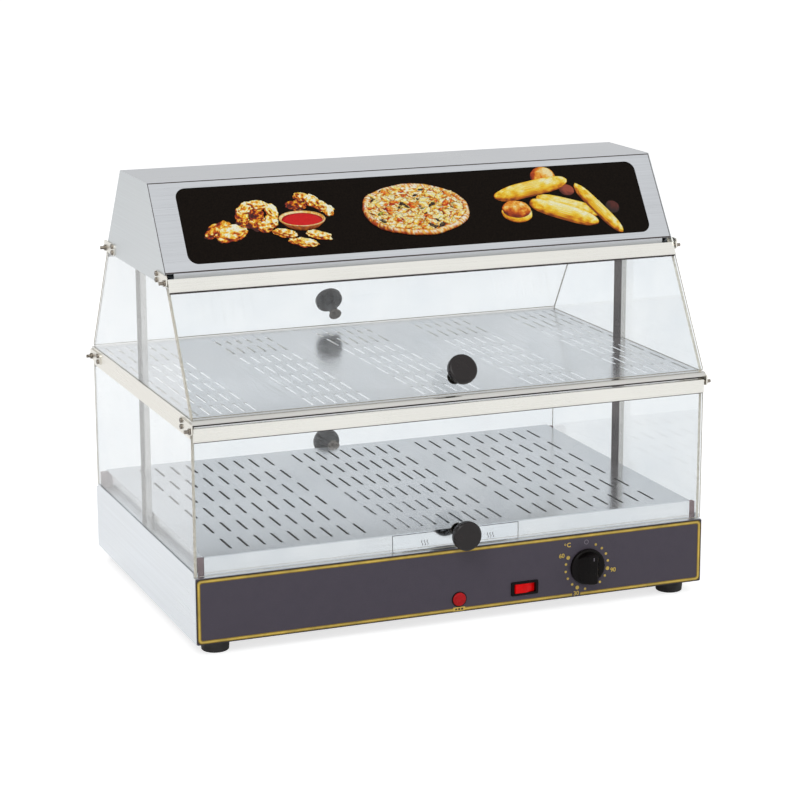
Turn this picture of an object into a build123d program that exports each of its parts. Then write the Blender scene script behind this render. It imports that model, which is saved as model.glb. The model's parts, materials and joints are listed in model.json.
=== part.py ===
from build123d import *

import os
from math import atan2, cos, hypot, radians, sin, tan

# Two-level heated display case with flap doors on the front and on the rear.
# Millimetres, +Z up, X across the front, the front faces -Y.
# The origin lies on the surface that the case stands on, midway between its feet.

os.makedirs("parts", exist_ok=True)

# ---------------------------------------------------------------- driving sizes

case_width = 785.0
case_depth = 520.0
stand_height = 18.0            # floor to the lower edge of the base walls
base_height = 96.0
lower_level = 224.0            # base top to the top of the upper shelf
upper_level = 165.0            # upper shelf to the lower edge of the canopy ends
canopy_rise = 133.0            # lower edge of the canopy ends to its flat top
canopy_top_depth = 134.0
canopy_foot_depth = 316.0

sheet = 1.2                    # folded stainless sheet
shelf_sheet = 1.5              # perforated sheets
glass = 4.0
glass_play = 0.1               # each side of a pane in its channel
fit_play = 0.1                 # between nested fixed pieces
swing_play = 0.8               # around pieces that turn

# flap doors
strip_thick = 8.0
strip_high = 20.0
strip_groove = 12.0
strip_end_gap = 2.0            # strip end to the outside of the case
pin_radius = 2.5
pin_drop = 4.0                 # strip top to the pin's axis
pin_socket = 14.0
pin_stand_out = 8.0            # pin end to the bracket's outer face
pin_cap_radius = 4.5
pin_cap = 1.6
pin_running_play = 0.06
pin_socket_play = 0.025         # around a pin in the strip's end
pin_cap_gap = 0.5              # bracket to the pin's collar
strip_round = 1.0
lower_pin_inset = 2.5          # base front to the lower pins' axis
lower_pin_drop = 15.0          # upper shelf to the lower pins' axis
upper_pin_inset = 4.0          # canopy end corner to the upper pins' axis
upper_pin_rise = 6.0           # canopy end's lower edge to the upper pins' axis
lower_glass_gap = 2.5          # door glass to the base
upper_glass_gap = 2.6          # door glass to the upper shelf
upper_glass_inset = 3.5        # base front to the foot of the upper door
pane_setback = 6.5             # side pane's edge to the door's mid-plane

# door knobs
door_knob_radius = 21.5
door_knob_stand = 38.0
door_knob_cap = 13.0
door_knob_stem = 7.0
door_knob_round = 4.3          # edges of the knob's disc
door_knob_rise = 24.0          # lower edge of the glass to the knob's axis
knob_screw_radius = 2.0
knob_screw_play = 0.05
knob_hole_radius = 3.5
knob_washer_radius = 10.0
knob_washer = 1.4
knob_head_radius = 4.0
knob_head = 2.2
knob_screw_bite = 14.0
knob_hole_end = 1.0            # knob's hole beyond its screw

# brackets that hold the hinge pins
bracket = 2.0
bracket_high = 16.0
bracket_tail = 48.0            # pin axis to the bracket's inner end
bracket_nose = 7.0             # pin axis to the bracket's outer end
bracket_lift = 3.0             # bracket's middle above the pin axis
bracket_round = 4.0
bracket_screw_back = 38.0      # pin axis to the screws
bracket_screw_gap = 9.0        # screw to screw
screw_radius = 2.0
screw_play = 0.1
screw_head_radius = 3.6
screw_head = 2.4
screw_end = 1.0
pane_hole_play = 1.0           # around a screw that passes a pane

# base
rim_width = 25.0               # flange around the base's open top
sill_high = 6.0
fascia = 1.5
fascia_margin = 0.4
fascia_round = 2.0
foot_radius = 21.0
foot_narrowing = 1.5           # foot's radius at the floor against its largest
foot_taper = 4.0
foot_chamfer = 1.0
foot_screw_end = 4.0
foot_inset_x = 36.0
foot_inset_y = 30.0
foot_recess_radius = 6.0
foot_recess = 8.0
plate_margin = 6.0
plate_screw_inset = 12.0
plate_screw_end = 3.0
vent_length = 60.0
vent_width = 5.0
vent_columns = 3
vent_rows = 7
vent_column_pitch = 120.0
vent_row_pitch = 20.0

# lower deck
deck_side_gap = 16.0           # base side to the deck
deck_front_gap = 10.0          # base front to the deck
deck_height = 28.0
deck_foot = 8.0
deck_round = 2.0
slot_length = 50.0
slot_width = 4.0
deck_columns = 9
deck_rows = 6
deck_row_pitch = 80.0
deck_outer_pitch = 25.0
deck_inner_pitch = 20.5
deck_outer_offset = 229.0

# water drawer
drawer_width = 194.0
drawer_side_play = 1.0
drawer_depth = 262.0
drawer_pan_inset = 3.0
drawer_top_gap = 1.0
drawer_bottom_gap = 0.4
drawer_pan_drop = 4.0
runner_width = 12.0
runner_inset = 9.0

# upper shelf, its rails and posts
channel_wall = 1.2
rail_high = 27.0
rail_groove = 5.0
ledge_width = 14.0
ledge_end_gap = 3.0            # side pane's edge to the ledge's end
post_play = 1.0                # around a post in the ledge
shelf_post_play = 0.5          # around a post in the shelf
shelf_overhang = 0.2           # shelf beyond the side panes
post_thick = 8.0
post_depth = 26.0
post_wall = 1.5
edge_high = 8.0
edge_depth = 11.0
edge_round = 3.6
shelf_lip = 6.5
shelf_columns = 6
shelf_rows = 7
shelf_column_pitch = 16.7
shelf_row_pitch = 70.0
shelf_bands = 5
shelf_band_pitch = 167.0
shelf_slot_length = 52.0

# canopy
canopy_panel = 141.0           # front panel, measured down its slope
sign_width = 716.0
sign_height = 117.0
sign_round = 15.0
sign_offset = 4.0              # sign's middle beyond the case's middle
sign_drop = 70.5               # panel's top edge to the sign's middle
sign_sheet = 3.0
sign_lap = 8.0                 # beyond the window's ends
sign_lap_foot = 4.0            # beyond the window's upper and lower edges
floor_rise = 1.0               # canopy end's lower edge to the canopy floor
floor_flange = 17.0
floor_setback = 20.0
lamp_window_length = 620.0
lamp_window_depth = 64.0
pane_tuck = 17.0               # side pane's top above the canopy end's lower edge

# lamp, heater and controls
lamp_radius = 13.0
lamp_length = 590.0
lamp_pin_pitch = 12.0
lamp_pin_radius = 1.2
lamp_pin_play = 0.2
lamp_lift = 46.0
holder_thick = 16.0
holder_width = 34.0
holder_round = 4.0
holder_foot = 4.0
holder_foot_lap = 8.0          # foot beyond each side of the lamp window
ballast_length = 150.0
ballast_width = 40.0
ballast_height = 28.0
ballast_round = 3.0
ballast_offset = 75.0
shield_drop = 21.0             # base top to the heat shield
shield_inset_x = 14.0
shield_inset_y = 30.0
heater_radius = 4.25
heater_gap = 5.0
heater_length = 600.0
heater_spread = 170.0
heater_bend = 30.0
heater_brackets_each = 3
heater_bracket_pitch = 230.0
heater_bracket_width = 14.0
heater_bracket_wall = 6.0
heater_bracket_top = 3.0

dial_x = 204.0
dial_z = 63.0
dial_skirt_radius = 27.0
dial_skirt = 6.0
dial_skirt_round = 3.0
dial_gap = 0.8
dial_body_radius = 22.0
dial_body = 17.0
dial_blade_top = 12.0
dial_blade_foot = 34.0
dial_blade_round = 1.5
dial_spigot_radius = 3.0
dial_spigot = 12.0
spigot_play = 0.08
spigot_end_play = 1.0
spigot_hole_radius = 5.0
thermostat_width = 44.0
thermostat_height = 38.0
thermostat_depth = 36.0
thermostat_round = 3.0
probe_radius = 3.0
probe_length = 110.0
probe_inset = 80.0             # base front to the probe
probe_lead = 40.0              # dial's axis to the probe's end
capillary_radius = 0.8
capillary_bend = 8.0

switch_x = 104.0
switch_z = 42.0
bezel_width = 43.0
bezel_height = 21.0
bezel_lip = 2.0
bezel_corner = 2.0
bezel_round = 1.0
switch_body_width = 38.0
switch_body_height = 17.0
switch_depth = 26.0
rocker_half = 16.0
rocker_high = 13.4
rocker_peak = 9.0
rocker_tilt = 10.0
rocker_sink = 6.5              # fascia face to the rocker's pivot
rocker_play = 0.6
rocker_well = 4.5              # pivot to the bottom of the rocker's well
rocker_waist = 3.0
rocker_foot = 4.0
rocker_heel = 2.5
trunnion_radius = 1.5

pilot_x = 1.0
pilot_z = 37.5
pilot_radius = 10.0
pilot_lip = 3.0
pilot_round = 2.0
pilot_body_radius = 7.0
pilot_depth = 24.0

gland_x = 300.0
gland_z = 60.0
gland_radius = 9.0
gland_nut_radius = 12.0
gland_nut = 6.0
gland_stand = 16.0
gland_bore = 4.5
gland_round = 3.0
terminal_length = 52.0
terminal_depth = 22.0
terminal_height = 20.0
terminal_poles = 3
terminal_pole_gap = 4.0
terminal_offset = 65.0         # cable inlet to the block, sideways
terminal_inset = 70.0          # rear wall to the block's middle

# ---------------------------------------------------------------- levels and planes

half_width = case_width / 2
half_depth = case_depth / 2
z_base = stand_height
z_base_top = z_base + base_height
z_deck = z_base_top + deck_height
z_shelf = z_base_top + lower_level
z_canopy = z_shelf + upper_level
z_top = z_canopy + canopy_rise
z_floor = z_canopy + floor_rise
channel = glass + 2 * glass_play + 2 * channel_wall
pane_outer = half_width - channel_wall - glass_play
pane_inner = pane_outer - glass
channel_inner = half_width - channel
post_inner = channel_inner - post_thick

lower_pin_y = half_depth - lower_pin_inset
lower_pin_z = z_shelf - lower_pin_drop
upper_pin_y = canopy_foot_depth / 2 - upper_pin_inset
upper_pin_z = z_canopy + upper_pin_rise
lower_glass_reach = lower_pin_z - z_base_top - lower_glass_gap
foot_run = half_depth - upper_glass_inset - upper_pin_y
foot_fall = upper_pin_z - z_shelf - upper_glass_gap
upper_glass_reach = hypot(foot_run, foot_fall)
upper_tilt = atan2(foot_run, foot_fall)
pane_front = lower_pin_y - pane_setback
deck_half_width = half_width - deck_side_gap
deck_half_depth = half_depth - deck_front_gap
shelf_half_depth = pane_front + shelf_overhang
canopy_slope = atan2((canopy_foot_depth - canopy_top_depth) / 2, canopy_rise)
strip_half = half_width - strip_end_gap


def front_plane(offset):
    """Plane facing -Y, with its origin on the case's middle at floor level."""
    return Plane(origin=(0, -offset, 0), x_dir=(1, 0, 0), z_dir=(0, -1, 0))


def side_plane(offset):
    """Plane facing +X whose local x and y are the case's Y and Z."""
    return Plane.YZ.offset(offset)


def save(piece, name):
    """Label one finished piece and write it as its own STEP file."""
    piece.part.label = name
    export_step(piece.part, f"parts/{name}.step")


def mirrored(piece, about):
    """The same piece on the other side of the case."""
    with BuildPart() as other:
        mirror(piece.part, about=about)
    return other


# ---------------------------------------------------------------- base

bezel_opening_width = switch_body_width + 2 * fit_play
bezel_opening_height = switch_body_height + 2 * fit_play
foot_points = [
    (side * (half_width - foot_inset_x), end * (half_depth - foot_inset_y))
    for side in (-1, 1)
    for end in (-1, 1)
]


def control_openings(offset):
    """Openings for the dial's spigot, the switch and the pilot lamp."""
    with BuildSketch(front_plane(offset)) as openings:
        with Locations((dial_x, dial_z)):
            Circle(spigot_hole_radius)
        with Locations((switch_x, switch_z)):
            Rectangle(bezel_opening_width, bezel_opening_height)
        with Locations((pilot_x, pilot_z)):
            Circle(pilot_body_radius + fit_play)
    return openings.sketch


with BuildPart() as base_shell:
    with BuildSketch(Plane.XY.offset(z_base)):
        Rectangle(case_width, case_depth)
    extrude(amount=base_height)
    with BuildSketch(Plane.XY.offset(z_base + sheet)):
        Rectangle(case_width - 2 * sheet, case_depth - 2 * sheet)
    extrude(amount=base_height - 2 * sheet, mode=Mode.SUBTRACT)
    with BuildSketch(Plane.XY.offset(z_base)):
        Rectangle(case_width - 2 * rim_width, case_depth - 2 * rim_width)
    extrude(amount=base_height, mode=Mode.SUBTRACT)
    # sills on both sides of each lower side pane
    with BuildSketch(Plane.XY.offset(z_base_top)):
        for side in (-1, 1):
            with Locations((side * (half_width - channel_wall / 2), 0)):
                Rectangle(channel_wall, 2 * pane_front)
            with Locations((side * (channel_inner + channel_wall / 2), 0)):
                Rectangle(channel_wall, 2 * pane_front)
    extrude(amount=sill_high)
    extrude(control_openings(half_depth), amount=-sheet, mode=Mode.SUBTRACT)
    # cable inlet in the rear wall
    with BuildSketch(Plane(origin=(0, half_depth, 0), x_dir=(1, 0, 0), z_dir=(0, -1, 0))):
        with Locations((gland_x, gland_z)):
            Circle(gland_radius + fit_play)
    extrude(amount=sheet, mode=Mode.SUBTRACT)
    # clearance for the screws of the bottom plate and of the feet
    with BuildSketch(Plane.XY.offset(z_base)):
        with GridLocations(case_width - 2 * plate_screw_inset, case_depth - 2 * plate_screw_inset, 2, 2):
            Circle(screw_radius + screw_play)
        with GridLocations(case_width / 2, case_depth - 2 * plate_screw_inset, 2, 2):
            Circle(screw_radius + screw_play)
    extrude(amount=sheet, mode=Mode.SUBTRACT)
save(base_shell, "base_shell")

with BuildPart() as bottom_plate:
    with BuildSketch(Plane.XY.offset(z_base - sheet)):
        RectangleRounded(case_width - 2 * plate_margin, case_depth - 2 * plate_margin, plate_margin)
        with GridLocations(case_width - 2 * plate_screw_inset, case_depth - 2 * plate_screw_inset, 2, 2):
            Circle(screw_radius + screw_play, mode=Mode.SUBTRACT)
        with GridLocations(case_width / 2, case_depth - 2 * plate_screw_inset, 2, 2):
            Circle(screw_radius + screw_play, mode=Mode.SUBTRACT)
        with Locations(*foot_points):
            Circle(screw_radius + screw_play, mode=Mode.SUBTRACT)
        with GridLocations(vent_column_pitch, vent_row_pitch, vent_columns, vent_rows):
            SlotOverall(vent_length, vent_width, mode=Mode.SUBTRACT)
    extrude(amount=sheet)
save(bottom_plate, "bottom_plate")


def pan_head_screw(radius, length, head_radius, head_height, plane):
    """A screw whose head starts on the plane and whose shank runs the other way."""
    with BuildPart() as screw:
        with BuildSketch(plane):
            Circle(head_radius)
        extrude(amount=head_height)
        fillet(screw.edges().group_by(Axis(plane.origin, plane.z_dir))[-1], head_height / 3)
        with BuildSketch(plane):
            Circle(radius)
        extrude(amount=-length)
    return screw.part


plate_screw_points = [
    (side * x, end * (half_depth - plate_screw_inset))
    for x in (half_width - plate_screw_inset, half_width / 2)
    for side in (-1, 1)
    for end in (-1, 1)
]

with BuildPart() as base_screws:
    for x, y in plate_screw_points:
        under = Plane(origin=(x, y, z_base - sheet), x_dir=(1, 0, 0), z_dir=(0, 0, -1))
        length = 2 * sheet + plate_screw_end
        add(pan_head_screw(screw_radius, length, screw_head_radius, screw_head, under))
    # longer screws clamp the feet to the bottom plate
    for x, y in foot_points:
        under = Plane(origin=(x, y, foot_recess), x_dir=(1, 0, 0), z_dir=(0, 0, -1))
        length = z_base + foot_screw_end - foot_recess
        add(pan_head_screw(screw_radius, length, screw_head_radius, screw_head, under))
save(base_screws, "base_screws")

with BuildPart() as rubber_feet:
    foot_top = z_base - sheet
    with BuildSketch(Plane.XY):
        with Locations(*foot_points):
            Circle(foot_radius - foot_narrowing)
    extrude(amount=foot_top, taper=-foot_taper)
    chamfer(rubber_feet.faces().sort_by(Axis.Z)[:len(foot_points)].edges(), foot_chamfer)
    with BuildSketch(Plane.XY):
        with Locations(*foot_points):
            Circle(foot_recess_radius)
    extrude(amount=foot_recess, mode=Mode.SUBTRACT)
    with BuildSketch(Plane.XY):
        with Locations(*foot_points):
            Circle(screw_radius + screw_play)
    extrude(amount=foot_top, mode=Mode.SUBTRACT)
save(rubber_feet, "rubber_feet")

with BuildPart() as front_fascia:
    with BuildSketch(front_plane(half_depth)):
        with Locations((0, z_base + base_height / 2)):
            RectangleRounded(case_width - 2 * fascia_margin, base_height - 2 * fascia_margin, fascia_round)
    extrude(amount=fascia)
    extrude(control_openings(half_depth + fascia), amount=-fascia, mode=Mode.SUBTRACT)
save(front_fascia, "front_fascia")

# ---------------------------------------------------------------- lower deck and drawer

z_deck_under = z_deck - shelf_sheet
drawer_gap_half = drawer_width / 2 + drawer_side_play

with BuildPart() as deck_frame:
    with BuildSketch(Plane.XY.offset(z_base_top)):
        Rectangle(2 * deck_half_width, 2 * deck_half_depth)
    extrude(amount=z_deck_under - z_base_top)
    with BuildSketch(Plane.XY.offset(z_base_top + sheet)):
        Rectangle(2 * (deck_half_width - sheet), 2 * (deck_half_depth - sheet))
    extrude(amount=z_deck_under - z_base_top - sheet, mode=Mode.SUBTRACT)
    with BuildSketch(Plane.XY.offset(z_base_top)):
        Rectangle(2 * (deck_half_width - deck_foot), 2 * (deck_half_depth - deck_foot))
    extrude(amount=sheet, mode=Mode.SUBTRACT)
    # the drawer's gap in the front, and the runners that carry its pan
    with BuildSketch(front_plane(deck_half_depth)):
        with Locations((0, (z_base_top + z_deck_under) / 2)):
            Rectangle(2 * drawer_gap_half, z_deck_under - z_base_top)
    extrude(amount=-deck_foot, mode=Mode.SUBTRACT)
    with BuildSketch(Plane.XY.offset(z_base_top)):
        with GridLocations(2 * (drawer_width / 2 - runner_inset), 0, 2, 1):
            Rectangle(runner_width, 2 * (deck_half_depth - sheet))
    extrude(amount=sheet)
save(deck_frame, "deck_frame")

with BuildPart() as lower_deck:
    with BuildSketch(Plane.XY.offset(z_deck_under)):
        RectangleRounded(2 * deck_half_width, 2 * deck_half_depth, deck_round)
        for middle, pitch in (
            (-deck_outer_offset, deck_outer_pitch),
            (0, deck_inner_pitch),
            (deck_outer_offset, deck_outer_pitch),
        ):
            with Locations((middle, 0)):
                with GridLocations(pitch, deck_row_pitch, deck_columns, deck_rows):
                    SlotOverall(slot_length, slot_width, rotation=90, mode=Mode.SUBTRACT)
    extrude(amount=shelf_sheet)
save(lower_deck, "lower_deck")

drawer_floor = z_base_top + sheet + drawer_bottom_gap
drawer_pan_top = z_deck_under - drawer_pan_drop
drawer_front_top = z_deck_under - drawer_top_gap
drawer_pan_width = drawer_width - 2 * drawer_pan_inset

with BuildPart() as water_drawer:
    with BuildSketch(front_plane(deck_half_depth)):
        with Locations((0, (drawer_floor + drawer_front_top) / 2)):
            Rectangle(drawer_width, drawer_front_top - drawer_floor)
    extrude(amount=-shelf_sheet)
    with BuildSketch(front_plane(deck_half_depth - shelf_sheet)):
        with Locations((0, (drawer_floor + drawer_pan_top) / 2)):
            Rectangle(drawer_pan_width, drawer_pan_top - drawer_floor)
    extrude(amount=-drawer_depth)
    with BuildSketch(front_plane(deck_half_depth - shelf_sheet)):
        with Locations((0, (drawer_floor + sheet + drawer_pan_top) / 2)):
            Rectangle(drawer_pan_width - 2 * sheet, drawer_pan_top - drawer_floor - sheet)
    extrude(amount=-(drawer_depth - sheet), mode=Mode.SUBTRACT)
save(water_drawer, "water_drawer")

# ---------------------------------------------------------------- side panes, rails and posts

with BuildPart() as lower_pane:
    with BuildSketch(side_plane(-pane_outer)):
        with Locations((0, (z_base_top + z_shelf - rail_high + rail_groove) / 2)):
            Rectangle(2 * pane_front, z_shelf - rail_high + rail_groove - z_base_top)
    extrude(amount=glass)
save(lower_pane, "lower_side_glass_left")
save(mirrored(lower_pane, Plane.YZ), "lower_side_glass_right")

pane_top = z_canopy + pane_tuck
slope_y = upper_pin_y - pane_setback * cos(upper_tilt)
slope_z = upper_pin_z - pane_setback * sin(upper_tilt)
pane_foot_y = slope_y + (slope_z - z_shelf) * tan(upper_tilt)
pane_head_y = slope_y - (pane_top - slope_z) * tan(upper_tilt)
upper_screws = [
    (upper_pin_y - bracket_screw_back, upper_pin_z + bracket_lift + step * bracket_screw_gap / 2)
    for step in (-1, 1)
]
lower_screws = [
    (lower_pin_y - bracket_screw_back, lower_pin_z + bracket_lift + step * bracket_screw_gap / 2)
    for step in (-1, 1)
]
both_ends_upper = [(end * y, z) for end in (-1, 1) for y, z in upper_screws]
both_ends_lower = [(end * y, z) for end in (-1, 1) for y, z in lower_screws]

with BuildPart() as upper_pane:
    with BuildSketch(side_plane(-pane_outer)):
        with BuildLine():
            Polyline(
                (-pane_foot_y, z_shelf - rail_groove),
                (-pane_foot_y, z_shelf),
                (-pane_head_y, pane_top),
                (pane_head_y, pane_top),
                (pane_foot_y, z_shelf),
                (pane_foot_y, z_shelf - rail_groove),
                close=True,
            )
        make_face()
        with Locations(*both_ends_upper):
            Circle(screw_radius + pane_hole_play, mode=Mode.SUBTRACT)
    extrude(amount=glass)
save(upper_pane, "upper_side_glass_left")
save(mirrored(upper_pane, Plane.YZ), "upper_side_glass_right")

with BuildPart() as side_rail:
    with BuildSketch(side_plane(-half_width)):
        with Locations((0, z_shelf - rail_high / 2)):
            Rectangle(2 * pane_front, rail_high)
    extrude(amount=channel)
    for middle in (z_shelf - rail_groove / 2, z_shelf - rail_high + rail_groove / 2):
        with BuildSketch(side_plane(-half_width + channel_wall)):
            with Locations((0, middle)):
                Rectangle(2 * pane_front, rail_groove)
        extrude(amount=glass + 2 * glass_play, mode=Mode.SUBTRACT)
    # ledges that carry the shelf, in front of and behind the post
    with BuildSketch(Plane.XY.offset(z_shelf - shelf_sheet - sheet)):
        with Locations((-channel_inner + ledge_width / 2, 0)):
            Rectangle(ledge_width, 2 * (pane_front - ledge_end_gap))
            Rectangle(ledge_width, post_depth + 2 * post_play, mode=Mode.SUBTRACT)
    extrude(amount=sheet)
    # tapped holes for the hinge bracket screws
    with BuildSketch(side_plane(-half_width)):
        with Locations(*both_ends_lower):
            Circle(screw_radius + screw_play)
    extrude(amount=channel - sheet, mode=Mode.SUBTRACT)
save(side_rail, "side_rail_left")
save(mirrored(side_rail, Plane.YZ), "side_rail_right")

with BuildPart() as post:
    with BuildSketch(Plane.XY.offset(z_base_top)):
        with Locations((-post_inner - post_thick / 2, 0)):
            Rectangle(post_thick, post_depth)
        with Locations((-post_inner - post_thick / 2 - post_wall / 2, 0)):
            Rectangle(post_thick - post_wall, post_depth - 2 * post_wall, mode=Mode.SUBTRACT)
    extrude(amount=z_floor - z_base_top)
save(post, "post_left")
save(mirrored(post, Plane.YZ), "post_right")

# ---------------------------------------------------------------- upper shelf

with BuildPart() as upper_shelf:
    with BuildSketch(Plane.XY.offset(z_shelf - shelf_sheet)):
        Rectangle(2 * (channel_inner - fit_play), 2 * shelf_half_depth)
        for side in (-1, 1):
            with Locations((side * (channel_inner - post_thick / 2), 0)):
                notch = (post_thick + 2 * shelf_post_play, post_depth + 2 * shelf_post_play)
                Rectangle(*notch, mode=Mode.SUBTRACT)
        for band in range(shelf_bands):
            with Locations(((band - (shelf_bands - 1) / 2) * shelf_band_pitch, 0)):
                with GridLocations(shelf_column_pitch, shelf_row_pitch, shelf_columns, shelf_rows):
                    SlotOverall(shelf_slot_length, slot_width, rotation=90, mode=Mode.SUBTRACT)
    extrude(amount=shelf_sheet)
    # lips turned down along the front and the rear
    with BuildSketch(Plane.XY.offset(z_shelf - shelf_sheet)):
        with GridLocations(0, 2 * shelf_half_depth - shelf_sheet, 1, 2):
            Rectangle(2 * (channel_inner - fit_play), shelf_sheet)
    extrude(amount=-shelf_lip)
save(upper_shelf, "upper_shelf")

with BuildPart() as shelf_edge:
    with BuildSketch(side_plane(-half_width)):
        with Locations((-shelf_half_depth - edge_depth / 2, z_shelf - edge_high / 2)):
            Rectangle(edge_depth, edge_high)
    extrude(amount=case_width)
    front_edges = shelf_edge.edges().filter_by(Axis.X).group_by(Axis.Y)[0]
    fillet(front_edges, edge_round)
save(shelf_edge, "shelf_edge_front")
save(mirrored(shelf_edge, Plane.XZ), "shelf_edge_rear")

# ---------------------------------------------------------------- canopy

slope_plane = Plane(
    origin=(0, -canopy_top_depth / 2, z_top),
    x_dir=(1, 0, 0),
    z_dir=(0, -cos(canopy_slope), sin(canopy_slope)),
)
panel_foot_y = canopy_top_depth / 2 + canopy_panel * sin(canopy_slope)
panel_foot_z = z_top - canopy_panel * cos(canopy_slope)
inner_top_y = canopy_top_depth / 2 - sheet * (1 - sin(canopy_slope)) / cos(canopy_slope)
inner_foot_y = panel_foot_y - sheet / cos(canopy_slope)

with BuildPart() as canopy_shell:
    with BuildSketch(side_plane(-half_width + sheet + fit_play)):
        with BuildLine():
            Polyline(
                (-panel_foot_y, panel_foot_z),
                (-canopy_top_depth / 2, z_top),
                (canopy_top_depth / 2, z_top),
                (panel_foot_y, panel_foot_z),
                (inner_foot_y, panel_foot_z),
                (inner_top_y, z_top - sheet),
                (-inner_top_y, z_top - sheet),
                (-inner_foot_y, panel_foot_z),
                close=True,
            )
        make_face()
    extrude(amount=case_width - 2 * (sheet + fit_play))
    with BuildSketch(slope_plane):
        with Locations((sign_offset, -sign_drop)):
            RectangleRounded(sign_width, sign_height, sign_round)
    extrude(amount=-sheet, mode=Mode.SUBTRACT)
save(canopy_shell, "canopy_shell")

with BuildPart() as canopy_end:
    with BuildSketch(side_plane(-half_width)):
        with BuildLine():
            Polyline(
                (-canopy_foot_depth / 2, z_canopy),
                (-canopy_top_depth / 2, z_top),
                (canopy_top_depth / 2, z_top),
                (canopy_foot_depth / 2, z_canopy),
                close=True,
            )
        make_face()
        with Locations(*both_ends_upper):
            Circle(screw_radius + screw_play, mode=Mode.SUBTRACT)
        with Locations((-upper_pin_y, upper_pin_z), (upper_pin_y, upper_pin_z)):
            Circle(pin_radius + swing_play, mode=Mode.SUBTRACT)
    extrude(amount=sheet)
save(canopy_end, "canopy_end_left")
save(mirrored(canopy_end, Plane.YZ), "canopy_end_right")

floor_half_width = pane_inner - glass_play
floor_half_depth = inner_foot_y - (floor_flange + z_floor - panel_foot_z) * tan(canopy_slope)
side_flange_half = slope_y - floor_setback

with BuildPart() as canopy_floor:
    with BuildSketch(Plane.XY.offset(z_floor)):
        Rectangle(2 * floor_half_width, 2 * side_flange_half)
        Rectangle(2 * post_inner, 2 * floor_half_depth)
        Rectangle(lamp_window_length, lamp_window_depth, mode=Mode.SUBTRACT)
    extrude(amount=sheet)
    # flanges up the front and the rear meet the shell, and flanges up the ends clamp the panes
    with BuildSketch(Plane.XY.offset(z_floor)):
        with GridLocations(0, 2 * floor_half_depth - sheet, 1, 2):
            Rectangle(2 * post_inner, sheet)
    extrude(amount=floor_flange)
    with BuildSketch(Plane.XY.offset(z_floor)):
        with GridLocations(2 * floor_half_width - sheet, 0, 2, 1):
            Rectangle(sheet, 2 * side_flange_half)
    extrude(amount=floor_flange)
    for side in (-1, 1):
        with BuildSketch(side_plane(side * floor_half_width)):
            with Locations(*both_ends_upper):
                Circle(screw_radius + screw_play)
        extrude(amount=-side * sheet, mode=Mode.SUBTRACT)
save(canopy_floor, "canopy_floor")

with BuildPart() as sign_panel:
    with BuildSketch(slope_plane.offset(-sheet)):
        with Locations((sign_offset, -sign_drop)):
            RectangleRounded(sign_width + 2 * sign_lap, sign_height + 2 * sign_lap_foot, sign_round)
    extrude(amount=-sign_sheet)
save(sign_panel, "sign_panel")

# ---------------------------------------------------------------- lamp

z_lamp = z_floor + lamp_lift
holder_x = lamp_length / 2 - holder_thick / 2

with BuildPart() as lamp_tube:
    with BuildSketch(side_plane(-lamp_length / 2 + holder_thick)):
        with Locations((0, z_lamp)):
            Circle(lamp_radius)
    extrude(amount=lamp_length - 2 * holder_thick)
    for side in (-1, 1):
        with BuildSketch(side_plane(side * (lamp_length / 2 - holder_thick))):
            with GridLocations(lamp_pin_pitch, 0, 2, 1):
                with Locations((0, z_lamp)):
                    Circle(lamp_pin_radius)
        extrude(amount=side * holder_thick / 2)
save(lamp_tube, "lamp_tube")

with BuildPart() as lamp_holders:
    for side in (-1, 1):
        with BuildSketch(side_plane(side * holder_x)):
            with Locations((0, (z_floor + sheet + z_lamp + holder_width / 2) / 2)):
                RectangleRounded(holder_width, z_lamp + holder_width / 2 - z_floor - sheet, holder_round)
            with GridLocations(lamp_pin_pitch, 0, 2, 1):
                with Locations((0, z_lamp)):
                    Circle(lamp_pin_radius + lamp_pin_play, mode=Mode.SUBTRACT)
        extrude(amount=holder_thick / 2, both=True)
    # feet reach over the lamp window to the canopy floor
    with BuildSketch(Plane.XY.offset(z_floor + sheet)):
        with GridLocations(2 * holder_x, 0, 2, 1):
            Rectangle(holder_thick, lamp_window_depth + 2 * holder_foot_lap)
    extrude(amount=holder_foot)
save(lamp_holders, "lamp_holders")

with BuildPart() as lamp_ballast:
    with BuildSketch(Plane.XY.offset(z_floor + sheet)):
        with Locations((0, ballast_offset)):
            Rectangle(ballast_length, ballast_width)
    extrude(amount=ballast_height)
    fillet(lamp_ballast.faces().sort_by(Axis.Z)[-1].edges(), ballast_round)
save(lamp_ballast, "lamp_ballast")

# ---------------------------------------------------------------- heater

z_shield = z_base_top - shield_drop
probe_y = probe_inset - half_depth
z_heater = z_shield + heater_gap + heater_radius

with BuildPart() as heat_shield:
    with BuildSketch(Plane.XY.offset(z_base)):
        Rectangle(2 * (half_width - shield_inset_x), 2 * (half_depth - shield_inset_y))
    extrude(amount=z_shield - z_base)
    with BuildSketch(Plane.XY.offset(z_base)):
        Rectangle(2 * (half_width - shield_inset_x - sheet), 2 * (half_depth - shield_inset_y))
    extrude(amount=z_shield - sheet - z_base, mode=Mode.SUBTRACT)
    # the legs end on the base's lower flange
    with BuildSketch(Plane.XY.offset(z_base)):
        Rectangle(case_width, case_depth)
    extrude(amount=sheet, mode=Mode.SUBTRACT)
    # hole for the thermostat's capillary
    with BuildSketch(Plane.XY.offset(z_shield)):
        with Locations((dial_x, probe_y)):
            Circle(probe_radius)
    extrude(amount=-sheet, mode=Mode.SUBTRACT)
save(heat_shield, "heat_shield")

heater_path_points = [
    (heater_length / 2, -heater_spread / 2),
    (-heater_length / 2, -heater_spread / 2),
    (-heater_length / 2, heater_spread / 2),
    (heater_length / 2, heater_spread / 2),
]

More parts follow.
